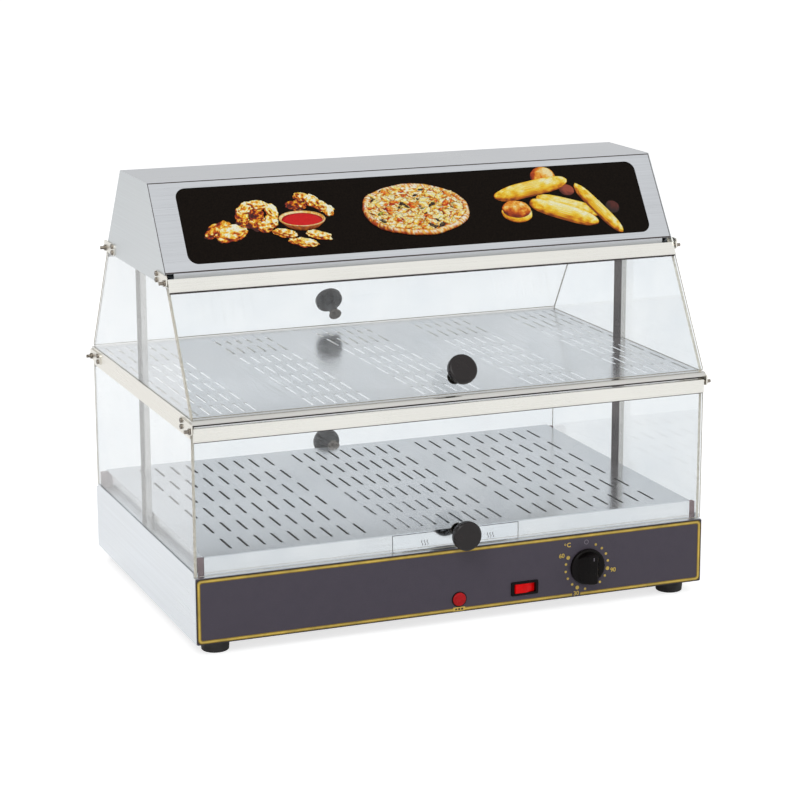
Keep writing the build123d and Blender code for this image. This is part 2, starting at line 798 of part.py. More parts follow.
with BuildPart() as heating_element:
    with BuildLine(Plane.XY.offset(z_heater)) as heater_path:
        FilletPolyline(*heater_path_points, radius=heater_bend)
    with BuildSketch(Plane(origin=heater_path.line @ 0, z_dir=heater_path.line % 0)):
        Circle(heater_radius)
    sweep()
save(heating_element, "heating_element")

bracket_height = heater_gap + 2 * heater_radius + heater_bracket_top

with BuildPart() as heater_brackets:
    for step in range(heater_brackets_each):
        middle = (step - (heater_brackets_each - 1) / 2) * heater_bracket_pitch
        with BuildSketch(side_plane(middle)):
            for run in (-1, 1):
                with Locations((run * heater_spread / 2, z_shield + bracket_height / 2)):
                    Rectangle(2 * (heater_radius + heater_bracket_wall), bracket_height)
                with Locations((run * heater_spread / 2, z_heater)):
                    Circle(heater_radius + fit_play, mode=Mode.SUBTRACT)
        extrude(amount=heater_bracket_width / 2, both=True)
save(heater_brackets, "heater_brackets")

# ---------------------------------------------------------------- thermostat and its dial

wall_inner = half_depth - sheet
fascia_face = half_depth + fascia
dial_back = fascia_face + dial_gap
spigot_reach = dial_back - wall_inner + dial_spigot

with BuildPart() as thermostat_body:
    with BuildSketch(front_plane(wall_inner)):
        with Locations((dial_x, dial_z)):
            RectangleRounded(thermostat_width, thermostat_height, thermostat_round)
    extrude(amount=-thermostat_depth)
    with BuildSketch(front_plane(wall_inner)):
        with Locations((dial_x, dial_z)):
            Circle(dial_spigot_radius + spigot_play)
    extrude(amount=-(dial_spigot + spigot_end_play), mode=Mode.SUBTRACT)
save(thermostat_body, "thermostat_body")

with BuildPart() as thermostat_dial:
    with BuildSketch(front_plane(dial_back)):
        with Locations((dial_x, dial_z)):
            Circle(dial_skirt_radius)
    extrude(amount=dial_skirt)
    skirt_rim = thermostat_dial.faces().sort_by(Axis.Y)[0].edges()
    fillet(skirt_rim, dial_skirt_round)
    # a blade with sloping flanks stands on the skirt
    with BuildSketch(Plane(origin=(dial_x, -dial_back - dial_skirt, dial_z), z_dir=(0, 0, 1))):
        with BuildLine():
            Polyline(
                (-dial_blade_foot / 2, 0),
                (-dial_blade_top / 2, -dial_body),
                (dial_blade_top / 2, -dial_body),
                (dial_blade_foot / 2, 0),
                close=True,
            )
        make_face()
    blade = extrude(amount=dial_body_radius, both=True, mode=Mode.PRIVATE)
    with BuildSketch(front_plane(dial_back + dial_skirt)):
        with Locations((dial_x, dial_z)):
            Circle(dial_body_radius)
    drum = extrude(amount=dial_body, mode=Mode.PRIVATE)
    add(blade & drum)
    blade_rim = thermostat_dial.faces().sort_by(Axis.Y)[0].edges()
    fillet(blade_rim, dial_blade_round)
    with BuildSketch(front_plane(dial_back)):
        with Locations((dial_x, dial_z)):
            Circle(dial_spigot_radius)
    extrude(amount=-spigot_reach)
save(thermostat_dial, "thermostat_dial")

probe_start = dial_x - probe_lead
z_probe = z_shield + probe_radius

with BuildPart() as thermostat_probe:
    with BuildLine() as capillary_path:
        FilletPolyline(
            (dial_x, -wall_inner + thermostat_depth, dial_z),
            (dial_x, probe_y, dial_z),
            (dial_x, probe_y, z_probe),
            (probe_start, probe_y, z_probe),
            radius=capillary_bend,
        )
    with BuildSketch(Plane(origin=capillary_path.line @ 0, z_dir=capillary_path.line % 0)):
        Circle(capillary_radius)
    sweep()
    with BuildSketch(Plane(origin=(probe_start, probe_y, z_probe), z_dir=(-1, 0, 0))):
        Circle(probe_radius)
    extrude(amount=probe_length)
save(thermostat_probe, "thermostat_probe")

# ---------------------------------------------------------------- switch

pivot_y = -(fascia_face - rocker_sink)
well_half = rocker_half + 2 * rocker_play
well_height = rocker_high + rocker_play
rocker_shoulder = rocker_peak - rocker_half * tan(radians(rocker_tilt))

with BuildPart() as switch_housing:
    with BuildSketch(front_plane(fascia_face)):
        with Locations((switch_x, switch_z)):
            RectangleRounded(bezel_width, bezel_height, bezel_corner)
    extrude(amount=bezel_lip)
    fillet(switch_housing.faces().sort_by(Axis.Y)[0].edges(), bezel_round)
    with BuildSketch(front_plane(fascia_face)):
        with Locations((switch_x, switch_z)):
            Rectangle(switch_body_width, switch_body_height)
    extrude(amount=-switch_depth)
    with BuildSketch(front_plane(fascia_face + bezel_lip)):
        with Locations((switch_x, switch_z)):
            Rectangle(2 * well_half, well_height)
    extrude(amount=-(bezel_lip + rocker_sink + rocker_well), mode=Mode.SUBTRACT)
    with BuildSketch(Plane.XY.offset(switch_z - switch_body_height / 2)):
        with Locations((switch_x, pivot_y)):
            Circle(trunnion_radius + pin_running_play)
    extrude(amount=switch_body_height, mode=Mode.SUBTRACT)
save(switch_housing, "switch_housing")

rocker_plane = Plane(
    origin=(switch_x, pivot_y, switch_z),
    x_dir=(cos(radians(rocker_tilt)), sin(radians(rocker_tilt)), 0),
    z_dir=(0, 0, 1),
)

with BuildPart() as switch_rocker:
    with BuildSketch(rocker_plane):
        with BuildLine():
            Polyline(
                (-rocker_half, -rocker_shoulder),
                (0, -rocker_peak),
                (rocker_half, -rocker_shoulder),
                (rocker_half, -rocker_waist),
                (rocker_foot, rocker_heel),
                (-rocker_foot, rocker_heel),
                (-rocker_half, -rocker_waist),
                close=True,
            )
        make_face()
    extrude(amount=rocker_high / 2, both=True)
    with BuildSketch(rocker_plane):
        Circle(trunnion_radius)
    extrude(amount=switch_body_height / 2 - rocker_play, both=True)
save(switch_rocker, "switch_rocker")

# ---------------------------------------------------------------- pilot lamp, cable inlet and terminals

with BuildPart() as pilot_lamp:
    with BuildSketch(front_plane(fascia_face)):
        with Locations((pilot_x, pilot_z)):
            Circle(pilot_radius)
    extrude(amount=pilot_lip)
    fillet(pilot_lamp.faces().sort_by(Axis.Y)[0].edges(), pilot_round)
    with BuildSketch(front_plane(fascia_face)):
        with Locations((pilot_x, pilot_z)):
            Circle(pilot_body_radius)
    extrude(amount=-pilot_depth)
save(pilot_lamp, "pilot_lamp")

gland_plane = Plane(origin=(gland_x, half_depth, gland_z), x_dir=(-1, 0, 0), z_dir=(0, 1, 0))

with BuildPart() as cable_gland:
    with BuildSketch(gland_plane):
        RegularPolygon(gland_nut_radius, 6)
    extrude(amount=gland_nut)
    with BuildSketch(gland_plane.offset(gland_nut)):
        Circle(gland_radius)
    extrude(amount=gland_stand - gland_nut)
    fillet(cable_gland.faces().sort_by(Axis.Y)[-1].edges(), gland_round)
    with BuildSketch(gland_plane):
        Circle(gland_radius)
    extrude(amount=-sheet)
    with BuildSketch(gland_plane.offset(-sheet)):
        RegularPolygon(gland_nut_radius, 6)
    extrude(amount=-gland_nut)
    with BuildSketch(gland_plane.offset(gland_stand)):
        Circle(gland_bore)
    extrude(amount=-(gland_stand + gland_nut + sheet), mode=Mode.SUBTRACT)
save(cable_gland, "cable_gland")

terminal_x = gland_x - terminal_offset
terminal_y = half_depth - terminal_inset

with BuildPart() as terminal_block:
    with BuildSketch(Plane.XY.offset(z_base)):
        with Locations((terminal_x, terminal_y)):
            Rectangle(terminal_length, terminal_depth)
    extrude(amount=terminal_height / 2)
    with BuildSketch(Plane.XY.offset(z_base + terminal_height / 2)):
        with Locations((terminal_x, terminal_y)):
            with GridLocations(terminal_length / terminal_poles, 0, terminal_poles, 1):
                pole_length = terminal_length / terminal_poles - terminal_pole_gap
                Rectangle(pole_length, terminal_depth - terminal_pole_gap)
                Circle(screw_radius, mode=Mode.SUBTRACT)
    extrude(amount=terminal_height / 2)
save(terminal_block, "terminal_block")

# ---------------------------------------------------------------- hinge brackets

bracket_outer = half_width + bracket
hinge_lines = ((lower_pin_y, lower_pin_z), (upper_pin_y, upper_pin_z))

with BuildPart() as hinge_brackets:
    for side in (-1, 1):
        with BuildSketch(side_plane(side * half_width)):
            for pin_y, pin_z in hinge_lines:
                for end in (-1, 1):
                    middle_y = end * (pin_y + (bracket_nose - bracket_tail) / 2)
                    with Locations((middle_y, pin_z + bracket_lift)):
                        RectangleRounded(bracket_nose + bracket_tail, bracket_high, bracket_round)
                    with Locations((end * pin_y, pin_z)):
                        Circle(pin_radius + pin_running_play, mode=Mode.SUBTRACT)
            with Locations(*both_ends_lower, *both_ends_upper):
                Circle(screw_radius + screw_play, mode=Mode.SUBTRACT)
        extrude(amount=side * bracket)
save(hinge_brackets, "hinge_brackets")

rail_screw = bracket + channel - sheet - screw_play
canopy_screw = bracket + channel + screw_end

with BuildPart() as bracket_screws:
    for side in (-1, 1):
        for places, length in ((both_ends_lower, rail_screw), (both_ends_upper, canopy_screw)):
            for y, z in places:
                beside = Plane(origin=(side * bracket_outer, y, z), x_dir=(0, 1, 0), z_dir=(side, 0, 0))
                add(pan_head_screw(screw_radius, length, screw_head_radius, screw_head, beside))
save(bracket_screws, "bracket_screws")

# ---------------------------------------------------------------- flap doors

def flap_door(name, facing, pin_y, pin_z, reach, tilt):
    """One flap hung from its upper edge; facing is -1 for the front and 1 for the rear."""
    across = Vector(-facing, 0, 0)
    outward = Vector(0, facing * cos(tilt), sin(tilt))
    pin_point = Vector(0, facing * pin_y, pin_z)
    door_plane = Plane(origin=pin_point, x_dir=across, z_dir=outward)
    section_plane = Plane(origin=pin_point, x_dir=outward, z_dir=-across)
    glass_top = pin_drop - strip_high + strip_groove
    knob_y = door_knob_rise - reach

    with BuildPart() as pane:
        with BuildSketch(door_plane.offset(-glass / 2)):
            with Locations((0, (glass_top - reach) / 2)):
                Rectangle(2 * strip_half, glass_top + reach)
            with Locations((0, knob_y)):
                Circle(knob_hole_radius, mode=Mode.SUBTRACT)
        extrude(amount=glass)
    save(pane, f"{name}_glass")

    with BuildPart() as strip:
        with BuildSketch(section_plane):
            with Locations((0, pin_drop - strip_high / 2)):
                RectangleRounded(strip_thick, strip_high, strip_round)
            with Locations((0, glass_top - strip_groove / 2)):
                Rectangle(glass + 2 * glass_play, strip_groove, mode=Mode.SUBTRACT)
        extrude(amount=strip_half, both=True)
        for side in (-1, 1):
            with BuildSketch(section_plane.offset(side * strip_half)):
                Circle(pin_radius + pin_socket_play)
            extrude(amount=-side * pin_socket, mode=Mode.SUBTRACT)
    save(strip, f"{name}_top_strip")

    with BuildPart() as pins:
        for side in (-1, 1):
            with BuildSketch(section_plane.offset(side * (strip_half - pin_socket))):
                Circle(pin_radius)
            extrude(amount=side * (bracket_outer + pin_stand_out - strip_half + pin_socket))
            with BuildSketch(section_plane.offset(side * (bracket_outer + pin_cap_gap))):
                Circle(pin_cap_radius)
            extrude(amount=side * pin_cap)
    save(pins, f"{name}_hinge_pins")

    knob_point = door_plane.from_local_coords((0, knob_y, glass / 2))
    knob_plane = Plane(origin=knob_point, x_dir=across, z_dir=outward)
    with BuildPart() as knob:
        with BuildSketch(knob_plane):
            Circle(door_knob_stem)
        extrude(amount=door_knob_stand - door_knob_cap)
        with BuildSketch(knob_plane.offset(door_knob_stand - door_knob_cap)):
            Circle(door_knob_radius)
        extrude(amount=door_knob_cap)
        outer_rims = knob.edges().filter_by(GeomType.CIRCLE).sort_by(SortBy.RADIUS)[-2:]
        fillet(outer_rims, door_knob_round)
        with BuildSketch(knob_plane):
            Circle(knob_screw_radius + knob_screw_play)
        extrude(amount=knob_screw_bite + knob_hole_end, mode=Mode.SUBTRACT)
    save(knob, f"{name}_knob")

    inside_plane = Plane(
        origin=knob_point - outward * glass,
        x_dir=across,
        z_dir=-outward,
    )
    with BuildPart() as fastener:
        with BuildSketch(inside_plane):
            Circle(knob_washer_radius)
        extrude(amount=knob_washer)
        shank = knob_washer + glass + knob_screw_bite
        on_washer = inside_plane.offset(knob_washer)
        add(pan_head_screw(knob_screw_radius, shank, knob_head_radius, knob_head, on_washer))
    save(fastener, f"{name}_knob_screw")


for place, facing in (("front", -1), ("rear", 1)):
    flap_door(f"lower_{place}", facing, lower_pin_y, lower_pin_z, lower_glass_reach, 0)
    flap_door(f"upper_{place}", facing, upper_pin_y, upper_pin_z, upper_glass_reach, upper_tilt)
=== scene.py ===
import json
import math
import random

import bmesh
import bpy
import numpy as np
from mathutils import Matrix, Vector, noise


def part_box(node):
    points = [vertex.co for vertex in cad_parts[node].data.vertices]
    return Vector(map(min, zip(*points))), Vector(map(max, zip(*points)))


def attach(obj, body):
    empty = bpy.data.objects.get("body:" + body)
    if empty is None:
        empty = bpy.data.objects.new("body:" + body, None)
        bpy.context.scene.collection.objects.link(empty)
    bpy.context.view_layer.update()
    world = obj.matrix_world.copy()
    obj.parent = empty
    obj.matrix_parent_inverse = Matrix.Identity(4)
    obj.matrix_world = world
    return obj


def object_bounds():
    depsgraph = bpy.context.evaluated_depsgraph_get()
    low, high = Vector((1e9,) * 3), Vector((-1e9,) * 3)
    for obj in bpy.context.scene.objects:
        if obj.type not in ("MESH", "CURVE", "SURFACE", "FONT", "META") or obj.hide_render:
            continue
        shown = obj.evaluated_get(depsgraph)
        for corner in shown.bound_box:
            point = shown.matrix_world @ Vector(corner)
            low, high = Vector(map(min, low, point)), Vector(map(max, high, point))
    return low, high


# Looks of the two-level heated display case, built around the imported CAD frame.
# Metres, +Z up, X across the control front, which faces -Y.

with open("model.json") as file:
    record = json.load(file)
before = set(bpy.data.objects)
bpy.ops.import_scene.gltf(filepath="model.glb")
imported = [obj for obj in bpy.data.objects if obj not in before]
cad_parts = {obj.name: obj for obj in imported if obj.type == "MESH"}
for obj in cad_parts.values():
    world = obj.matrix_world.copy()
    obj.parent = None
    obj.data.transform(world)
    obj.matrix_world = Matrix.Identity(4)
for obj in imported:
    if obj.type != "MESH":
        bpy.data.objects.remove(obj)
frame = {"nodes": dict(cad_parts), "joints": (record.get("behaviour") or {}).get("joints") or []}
cad_low, cad_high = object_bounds()
nodes = frame["nodes"]

X = Vector((1, 0, 0))
Y = Vector((0, 1, 0))
Z = Vector((0, 0, 1))
MM = 0.001
DOORS = ("lower_front", "upper_front", "lower_rear", "upper_rear")


def srgb(red, green, blue):
    """Linear colour of an 8-bit sRGB triple."""
    return tuple(
        (v / 255 / 12.92) if v <= 10 else ((v / 255 + 0.055) / 1.055) ** 2.4
        for v in (red, green, blue)
    )


# ---------------------------------------------------------------- materials


class Shader:
    """A node material round one Principled shader, with the few procedural helpers used here."""

    def __init__(self, name, **sockets):
        self.material = bpy.data.materials.new(name)
        self.material.use_nodes = True
        self.tree = self.material.node_tree
        self.main = self.tree.nodes["Principled BSDF"]
        self.place = self.tree.nodes.new("ShaderNodeTexCoord").outputs["Object"]
        self.set(**sockets)

    def set(self, **sockets):
        for key, value in sockets.items():
            self.put(self.main.inputs[key.replace("_", " ").title().replace("Ior", "IOR")], value)
        return self

    def put(self, socket, value):
        if isinstance(value, bpy.types.NodeSocket):
            self.tree.links.new(value, socket)
        elif isinstance(value, tuple) and len(value) == 3 and socket.type == "RGBA":
            socket.default_value = (*value, 1)
        else:
            socket.default_value = value

    def node(self, kind, *inputs, **settings):
        made = self.tree.nodes.new("ShaderNode" + kind)
        for key, value in settings.items():
            setattr(made, key, value)
        for socket, value in zip(made.inputs, inputs):
            if value is not None:
                self.put(socket, value)
        return made

    def noise(self, scale, stretch=(1, 1, 1), detail=3.0):
        """Noise over the object's own coordinates, stretched where the grain runs."""
        spread = self.node("Mapping", self.place)
        spread.inputs["Scale"].default_value = stretch
        made = self.node("TexNoise")
        self.put(made.inputs["Vector"], spread.outputs[0])
        made.inputs["Scale"].default_value = scale
        made.inputs["Detail"].default_value = detail
        return made.outputs["Fac"]

    def ramp(self, factor, *stops):
        made = self.node("ValToRGB", factor)
        points = made.color_ramp.elements
        while len(points) < len(stops):
            points.new(0.5)
        for point, (where, colour) in zip(points, stops):
            point.position = where
            point.color = (*colour, 1)
        return made.outputs["Color"]

    def span(self, factor, low, high, start=0.0, end=1.0):
        """The factor's start-to-end part spread over low to high."""
        made = self.node("MapRange", factor, start, end, low, high)
        return made.outputs["Result"]

    def mix(self, factor, first, second, blend="MIX"):
        made = self.node("Mix", data_type="RGBA", blend_type=blend)
        for name, value in (("Factor", factor), ("A", first), ("B", second)):
            fits = [s for s in made.inputs if s.name == name and (s.type == "RGBA") == (name != "Factor")]
            self.put(fits[0], value)
        return [s for s in made.outputs if s.type == "RGBA"][0]

    def math(self, operation, *values):
        return self.node("Math", *values, operation=operation).outputs[0]

    def bump(self, height, strength, distance=0.0005):
        made = self.node("Bump")
        made.inputs["Strength"].default_value = strength
        made.inputs["Distance"].default_value = distance
        self.put(made.inputs["Height"], height)
        self.put(self.main.inputs["Normal"], made.outputs["Normal"])

    def facing(self, axis):
        """How far the surface faces along an axis of the object, from -1 to 1."""
        normal = self.node("NewGeometry").outputs["True Normal"]
        turned = self.node(
            "VectorTransform", normal, vector_type="NORMAL", convert_from="WORLD", convert_to="OBJECT")
        made = self.node("VectorMath", turned.outputs[0], tuple(axis), operation="DOT_PRODUCT")
        return made.outputs["Value"]


def shaded(colour, share):
    return tuple(min(1.0, c * share) for c in colour)


def brushed(name, colour, roughness, grain, streak=0.06, cloud=0.05, relief=0.05):
    """Brushed sheet metal whose grain is long where the grain scale is small."""
    s = Shader(name, metallic=1.0)
    fine = s.noise(1.0, grain, detail=4)
    smudge = s.noise(7.0, detail=3)
    tone = s.ramp(fine, (0.3, shaded(colour, 1 - streak)), (0.7, shaded(colour, 1 + streak)))
    veil = s.ramp(smudge, (0.3, (1 - cloud,) * 3), (0.7, (1.0, 1.0, 1.0)))
    s.set(base_color=s.mix(1.0, tone, veil, "MULTIPLY"))
    s.set(roughness=s.span(s.math("ADD", fine, smudge), roughness * 0.8, roughness * 1.25, 0.7, 1.3))
    s.bump(fine, relief, 0.0002)
    return s


def moulded(name, colour, roughness, coat=0.0, grain=900.0, relief=0.06, shine=0.5):
    """Moulded plastic or rubber with a fine skin texture and faint wear."""
    s = Shader(name, specular_ior_level=shine, coat_weight=coat, coat_roughness=0.12)
    skin = s.noise(grain, detail=2)
    wear = s.noise(35.0, detail=5)
    s.set(base_color=s.ramp(wear, (0.35, shaded(colour, 0.8)), (0.75, shaded(colour, 1.35))))
    s.set(roughness=s.span(wear, roughness * 0.8, min(1.0, roughness * 1.3), 0.3, 0.7))
    s.bump(skin, relief, 0.0002)
    return s


def pane_glass(name, axis):
    """Clear toughened glass with ground, beige-grey edges; the axis is the pane's own normal."""
    s = Shader(name, ior=1.45)
    flat = s.math("GREATER_THAN", s.math("ABSOLUTE", s.facing(axis)), 0.7)
    haze = s.noise(14.0, detail=4)
    tint = s.ramp(haze, (0.3, srgb(240, 243, 245)), (0.7, srgb(245, 247, 248)))
    edge = s.ramp(s.noise(220.0, detail=2), (0.3, srgb(196, 190, 176)), (0.7, srgb(222, 217, 204)))
    s.set(base_color=s.mix(flat, edge, tint))
    s.set(roughness=s.math("MULTIPLY", s.math("SUBTRACT", 1.0, flat), 0.55), transmission_weight=flat)
    clear = s.node("BsdfTransparent", srgb(243, 247, 249))
    ray = s.node("LightPath").outputs["Is Shadow Ray"]
    both = s.node("MixShader", ray, s.main.outputs[0], clear.outputs[0])
    out = s.tree.nodes["Material Output"]
    s.tree.links.new(both.outputs[0], out.inputs["Surface"])
    return s


def painted_inner_reflection(name, colour, dark, inward, roughness, grain):
    """Polished post metal whose inward face is painted dark: a painted reflection of the case's dark
    interior.
    """
    s = brushed(name, colour, roughness, grain)
    base = s.main.inputs["Base Color"].links[0].from_socket
    # mask of the inward face that gets the painted dark reflection
    inside = s.math("GREATER_THAN", s.facing(X * inward), 0.6)
    s.set(base_color=s.mix(inside, base, dark))
    return s


case_steel = brushed("case_steel", srgb(222, 226, 230), 0.34, (4, 4, 900))
end_steel = brushed("end_steel", srgb(206, 210, 212), 0.36, (900, 4, 900))
canopy_steel = brushed("canopy_steel", srgb(200, 203, 207), 0.33, (4, 900, 900))
deck_steel = brushed("deck_steel", srgb(218, 221, 225), 0.16, (900, 5, 900), streak=0.05, relief=0.04)
lip_steel = brushed("lip_steel", srgb(238, 239, 240), 0.18, (5, 900, 900), streak=0.03, relief=0.02)
shelf_steel = brushed("shelf_steel", srgb(230, 232, 235), 0.17, (900, 5, 900), streak=0.05, relief=0.04)
drawer_steel = brushed("drawer_steel", srgb(240, 242, 244), 0.09, (5, 900, 900), streak=0.02, relief=0.015)
edge_steel = brushed("edge_steel", srgb(204, 203, 199), 0.12, (5, 900, 900), streak=0.03, relief=0.02)
strip_steel = brushed("strip_steel", srgb(230, 229, 223), 0.28, (4, 900, 900), streak=0.03)
rail_steel = brushed("rail_steel", srgb(228, 225, 217), 0.30, (900, 4, 900), streak=0.03)
inner_steel = brushed("inner_steel", srgb(104, 102, 104), 0.45, (6, 700, 700))
screw_steel = brushed("screw_steel", srgb(150, 142, 132), 0.25, (700, 700, 700), cloud=0.3)
heater_sheath = brushed("heater_sheath", srgb(92, 84, 80), 0.5, (200, 900, 900), cloud=0.35)
copper_tube = brushed("copper_tube", srgb(205, 134, 98), 0.3, (500, 500, 500), cloud=0.25)
# the second colour is the painted dark reflection on the posts' inward faces
POST_OUTER, POST_INNER_REFLECTION = srgb(196, 194, 190), srgb(60, 49, 48)
post_left_steel = painted_inner_reflection("post_left_steel", POST_OUTER, POST_INNER_REFLECTION, 1, 0.14, (900, 900, 5))
post_right_steel = painted_inner_reflection("post_right_steel", POST_OUTER, POST_INNER_REFLECTION, -1, 0.14, (900, 900, 5))
side_glass = pane_glass("side_glass", X)
flat_glass = pane_glass("flat_glass", Y)
foot_rubber = moulded("foot_rubber", srgb(26, 24, 24), 0.75, grain=600.0, relief=0.25)
black_phenolic = moulded("black_phenolic", srgb(26, 20, 20), 0.24, grain=400.0, relief=0.02, shine=0.35)
black_plastic = moulded("black_plastic", srgb(15, 12, 12), 0.26, shine=0.1)
inner_plastic = moulded("inner_plastic", srgb(38, 37, 38), 0.5)
white_plastic = moulded("white_plastic", srgb(222, 221, 214), 0.45)
lamp_white = moulded("lamp_white", srgb(240, 240, 234), 0.25, coat=0.6, grain=200.0, relief=0.01)
rocker_lens = moulded("rocker_lens", srgb(222, 12, 16), 0.3, grain=260.0, relief=0.05, shine=0.12)
# faint emission: a painted glow that brightens the red lens
rocker_lens.set(emission_color=srgb(222, 10, 12), emission_strength=0.22)
pilot_lens = moulded("pilot_lens", srgb(186, 20, 26), 0.25, grain=260.0, relief=0.05, shine=0.2)
# dark rubber for seams and beads, and also the painted shadow line under the shelf's edges
seal_rubber_and_shadow = moulded("seal_rubber_and_shadow", srgb(58, 48, 46), 0.6)
end_gap_block = moulded("end_gap_block", srgb(126, 104, 106), 0.85, grain=420.0, relief=0.5)
gold_ink = moulded("gold_ink", srgb(214, 184, 84), 0.38, grain=1500.0)
gold_shadow = moulded("gold_shadow", srgb(142, 114, 30), 0.45, grain=1500.0)
# grey print, also used for the painted highlight line on the dial's blade
grey_ink_and_highlight = moulded("grey_ink_and_highlight", srgb(118, 112, 122), 0.5)
# black print, also used for the painted shade of the screws' cross recesses
black_ink_and_recess_shade = moulded("black_ink_and_recess_shade", srgb(24, 20, 20), 0.5)

fascia_film = Shader("fascia_film", specular_ior_level=0.25)
speckle = fascia_film.noise(1400.0, detail=2)
blotch = fascia_film.noise(60.0, detail=4)
film_tone = fascia_film.ramp(speckle, (0.3, srgb(70, 65, 74)), (0.7, srgb(88, 82, 94)))
film_veil = fascia_film.ramp(blotch, (0.3, (0.92, 0.92, 0.94)), (0.7, (1.0, 1.0, 1.0)))
fascia_film.set(base_color=fascia_film.mix(1.0, film_tone, film_veil, "MULTIPLY"))
fascia_film.set(roughness=fascia_film.span(blotch, 0.42, 0.55, 0.3, 0.7))
fascia_film.bump(speckle, 0.05, 0.0001)

sign_acrylic = Shader("sign_acrylic", specular_ior_level=0.04)
grain = sign_acrylic.noise(500.0, detail=3)
sign_acrylic.set(base_color=sign_acrylic.ramp(grain, (0.3, srgb(14, 10, 8)), (0.7, srgb(28, 22, 17))))
sign_acrylic.set(roughness=sign_acrylic.span(sign_acrylic.noise(20.0), 0.3, 0.42, 0.3, 0.7))
sign_acrylic.bump(grain, 0.03, 0.0001)

food_print = Shader("food_print", specular_ior_level=0.3, roughness=0.45)
printed = food_print.node("Attribute", attribute_name="Print").outputs["Color"]
dots = food_print.noise(900.0, detail=3)
screen = food_print.ramp(dots, (0.3, (0.8, 0.78, 0.72)), (0.65, (1.0, 1.0, 1.0)))
food_print.set(base_color=food_print.mix(1.0, printed, screen, "MULTIPLY"))
food_print.bump(dots, 0.08, 0.0001)

NODE_LOOKS = {
    "base_shell": case_steel,
    "bottom_plate": inner_steel,
    "base_screws": screw_steel,
    "rubber_feet": foot_rubber,
    "front_fascia": fascia_film,
    "deck_frame": lip_steel,
    "lower_deck": deck_steel,
    "water_drawer": drawer_steel,
    "lower_side_glass_left": side_glass,
    "lower_side_glass_right": side_glass,
    "upper_side_glass_left": side_glass,
    "upper_side_glass_right": side_glass,
    "side_rail_left": rail_steel,
    "side_rail_right": rail_steel,
    "post_left": post_left_steel,
    "post_right": post_right_steel,
    "upper_shelf": shelf_steel,
    "shelf_edge_front": edge_steel,
    "shelf_edge_rear": edge_steel,
    "canopy_shell": canopy_steel,
    "canopy_end_left": end_steel,
    "canopy_end_right": end_steel,
    "canopy_floor": canopy_steel,
    "sign_panel": sign_acrylic,
    "lamp_tube": lamp_white,
    "lamp_holders": white_plastic,
    "lamp_ballast": inner_steel,
    "heat_shield": inner_steel,
    "heating_element": heater_sheath,
    "heater_brackets": inner_steel,
    "thermostat_body": inner_plastic,
    "thermostat_dial": black_plastic,
    "thermostat_probe": copper_tube,
    "switch_housing": black_plastic,
    "switch_rocker": rocker_lens,
    "pilot_lamp": pilot_lens,
    "cable_gland": inner_plastic,
    "terminal_block": white_plastic,
    "hinge_brackets": rail_steel,
    "bracket_screws": screw_steel,
}
for door in DOORS:
    NODE_LOOKS[f"{door}_glass"] = flat_glass
    NODE_LOOKS[f"{door}_top_strip"] = strip_steel
    NODE_LOOKS[f"{door}_hinge_pins"] = screw_steel
    NODE_LOOKS[f"{door}_knob"] = black_phenolic
    NODE_LOOKS[f"{door}_knob_screw"] = screw_steel

for name, look in NODE_LOOKS.items():
    nodes[name].data.materials.clear()
    nodes[name].data.materials.append(look.material)

# ---------------------------------------------------------------- piece building


class Frame:
    """Where a flat piece lies: a point, its two directions and the direction it stands out in."""

    def __init__(self, origin, across, along):
        self.origin, self.across, self.along = Vector(origin), across.normalized(), along.normalized()
        self.out = self.across.cross(self.along)

    def at(self, a, b, h=0.0):
        return self.origin + self.across * a + self.along * b + self.out * h


def finished(name, mesh, look, body, smooth=False):
    """Makes an object of the bmesh, and lets it ride on its CAD body."""
    bmesh.ops.recalc_face_normals(mesh, faces=mesh.faces)
    data = bpy.data.meshes.new(name)
    mesh.to_mesh(data)
    mesh.free()
    data.materials.append(look.material)
    if smooth:
        data.shade_smooth()
    made = bpy.data.objects.new(name, data)
    bpy.context.scene.collection.objects.link(made)
    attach(made, body)
    return made


def rounded(x0, x1, y0, y1, radius, steps=6):
    """Corner points of a rounded rectangle."""
    points = []
    left, right, low, high = x0 + radius, x1 - radius, y0 + radius, y1 - radius
    for cx, cy, start in ((right, high, 0), (left, high, 1), (left, low, 2), (right, low, 3)):
        for step in range(steps + 1):
            turn = (start + step / steps) * math.pi / 2
            points.append((cx + radius * math.cos(turn), cy + radius * math.sin(turn)))
    return points


def circle(x, y, radius, steps=24):
    turns = [2 * math.pi * i / steps for i in range(steps)]
    return [(x + radius * math.cos(turn), y + radius * math.sin(turn)) for turn in turns]


def prism(mesh, place, loop, low, high):
    """A flat plate on the loop, between two heights."""
    under = [mesh.verts.new(place.at(a, b, low)) for a, b in loop]
    over = [mesh.verts.new(place.at(a, b, high)) for a, b in loop]
    mesh.faces.new(under)
    mesh.faces.new(over)
    for i in range(len(loop)):
        j = (i + 1) % len(loop)
        mesh.faces.new((under[i], under[j], over[j], over[i]))


def ring(mesh, place, outer, inner, low, high):
    """A flat ring between two loops that have as many points."""
    rings = ((outer, low), (outer, high), (inner, high), (inner, low))
    loops = [[mesh.verts.new(place.at(a, b, h)) for a, b in loop] for loop, h in rings]
    for k in range(4):
        first, second = loops[k], loops[(k + 1) % 4]
        for i in range(len(outer)):
            j = (i + 1) % len(outer)
            mesh.faces.new((first[i], first[j], second[j], second[i]))


def bead(mesh, place, start, end, radius, steps=8, flat=1.0):
    """A half-round bead on the place's surface along its across direction."""
    turns = [math.pi * k / steps for k in range(steps + 1)]
    arc = [(radius * math.cos(turn), flat * radius * math.sin(turn)) for turn in turns]
    left = [mesh.verts.new(place.at(start, b, h)) for b, h in arc]
    right = [mesh.verts.new(place.at(end, b, h)) for b, h in arc]
    mesh.faces.new(left)
    mesh.faces.new(right)
    for k in range(steps + 1):
        j = (k + 1) % (steps + 1)
        mesh.faces.new((left[k], left[j], right[j], right[k]))


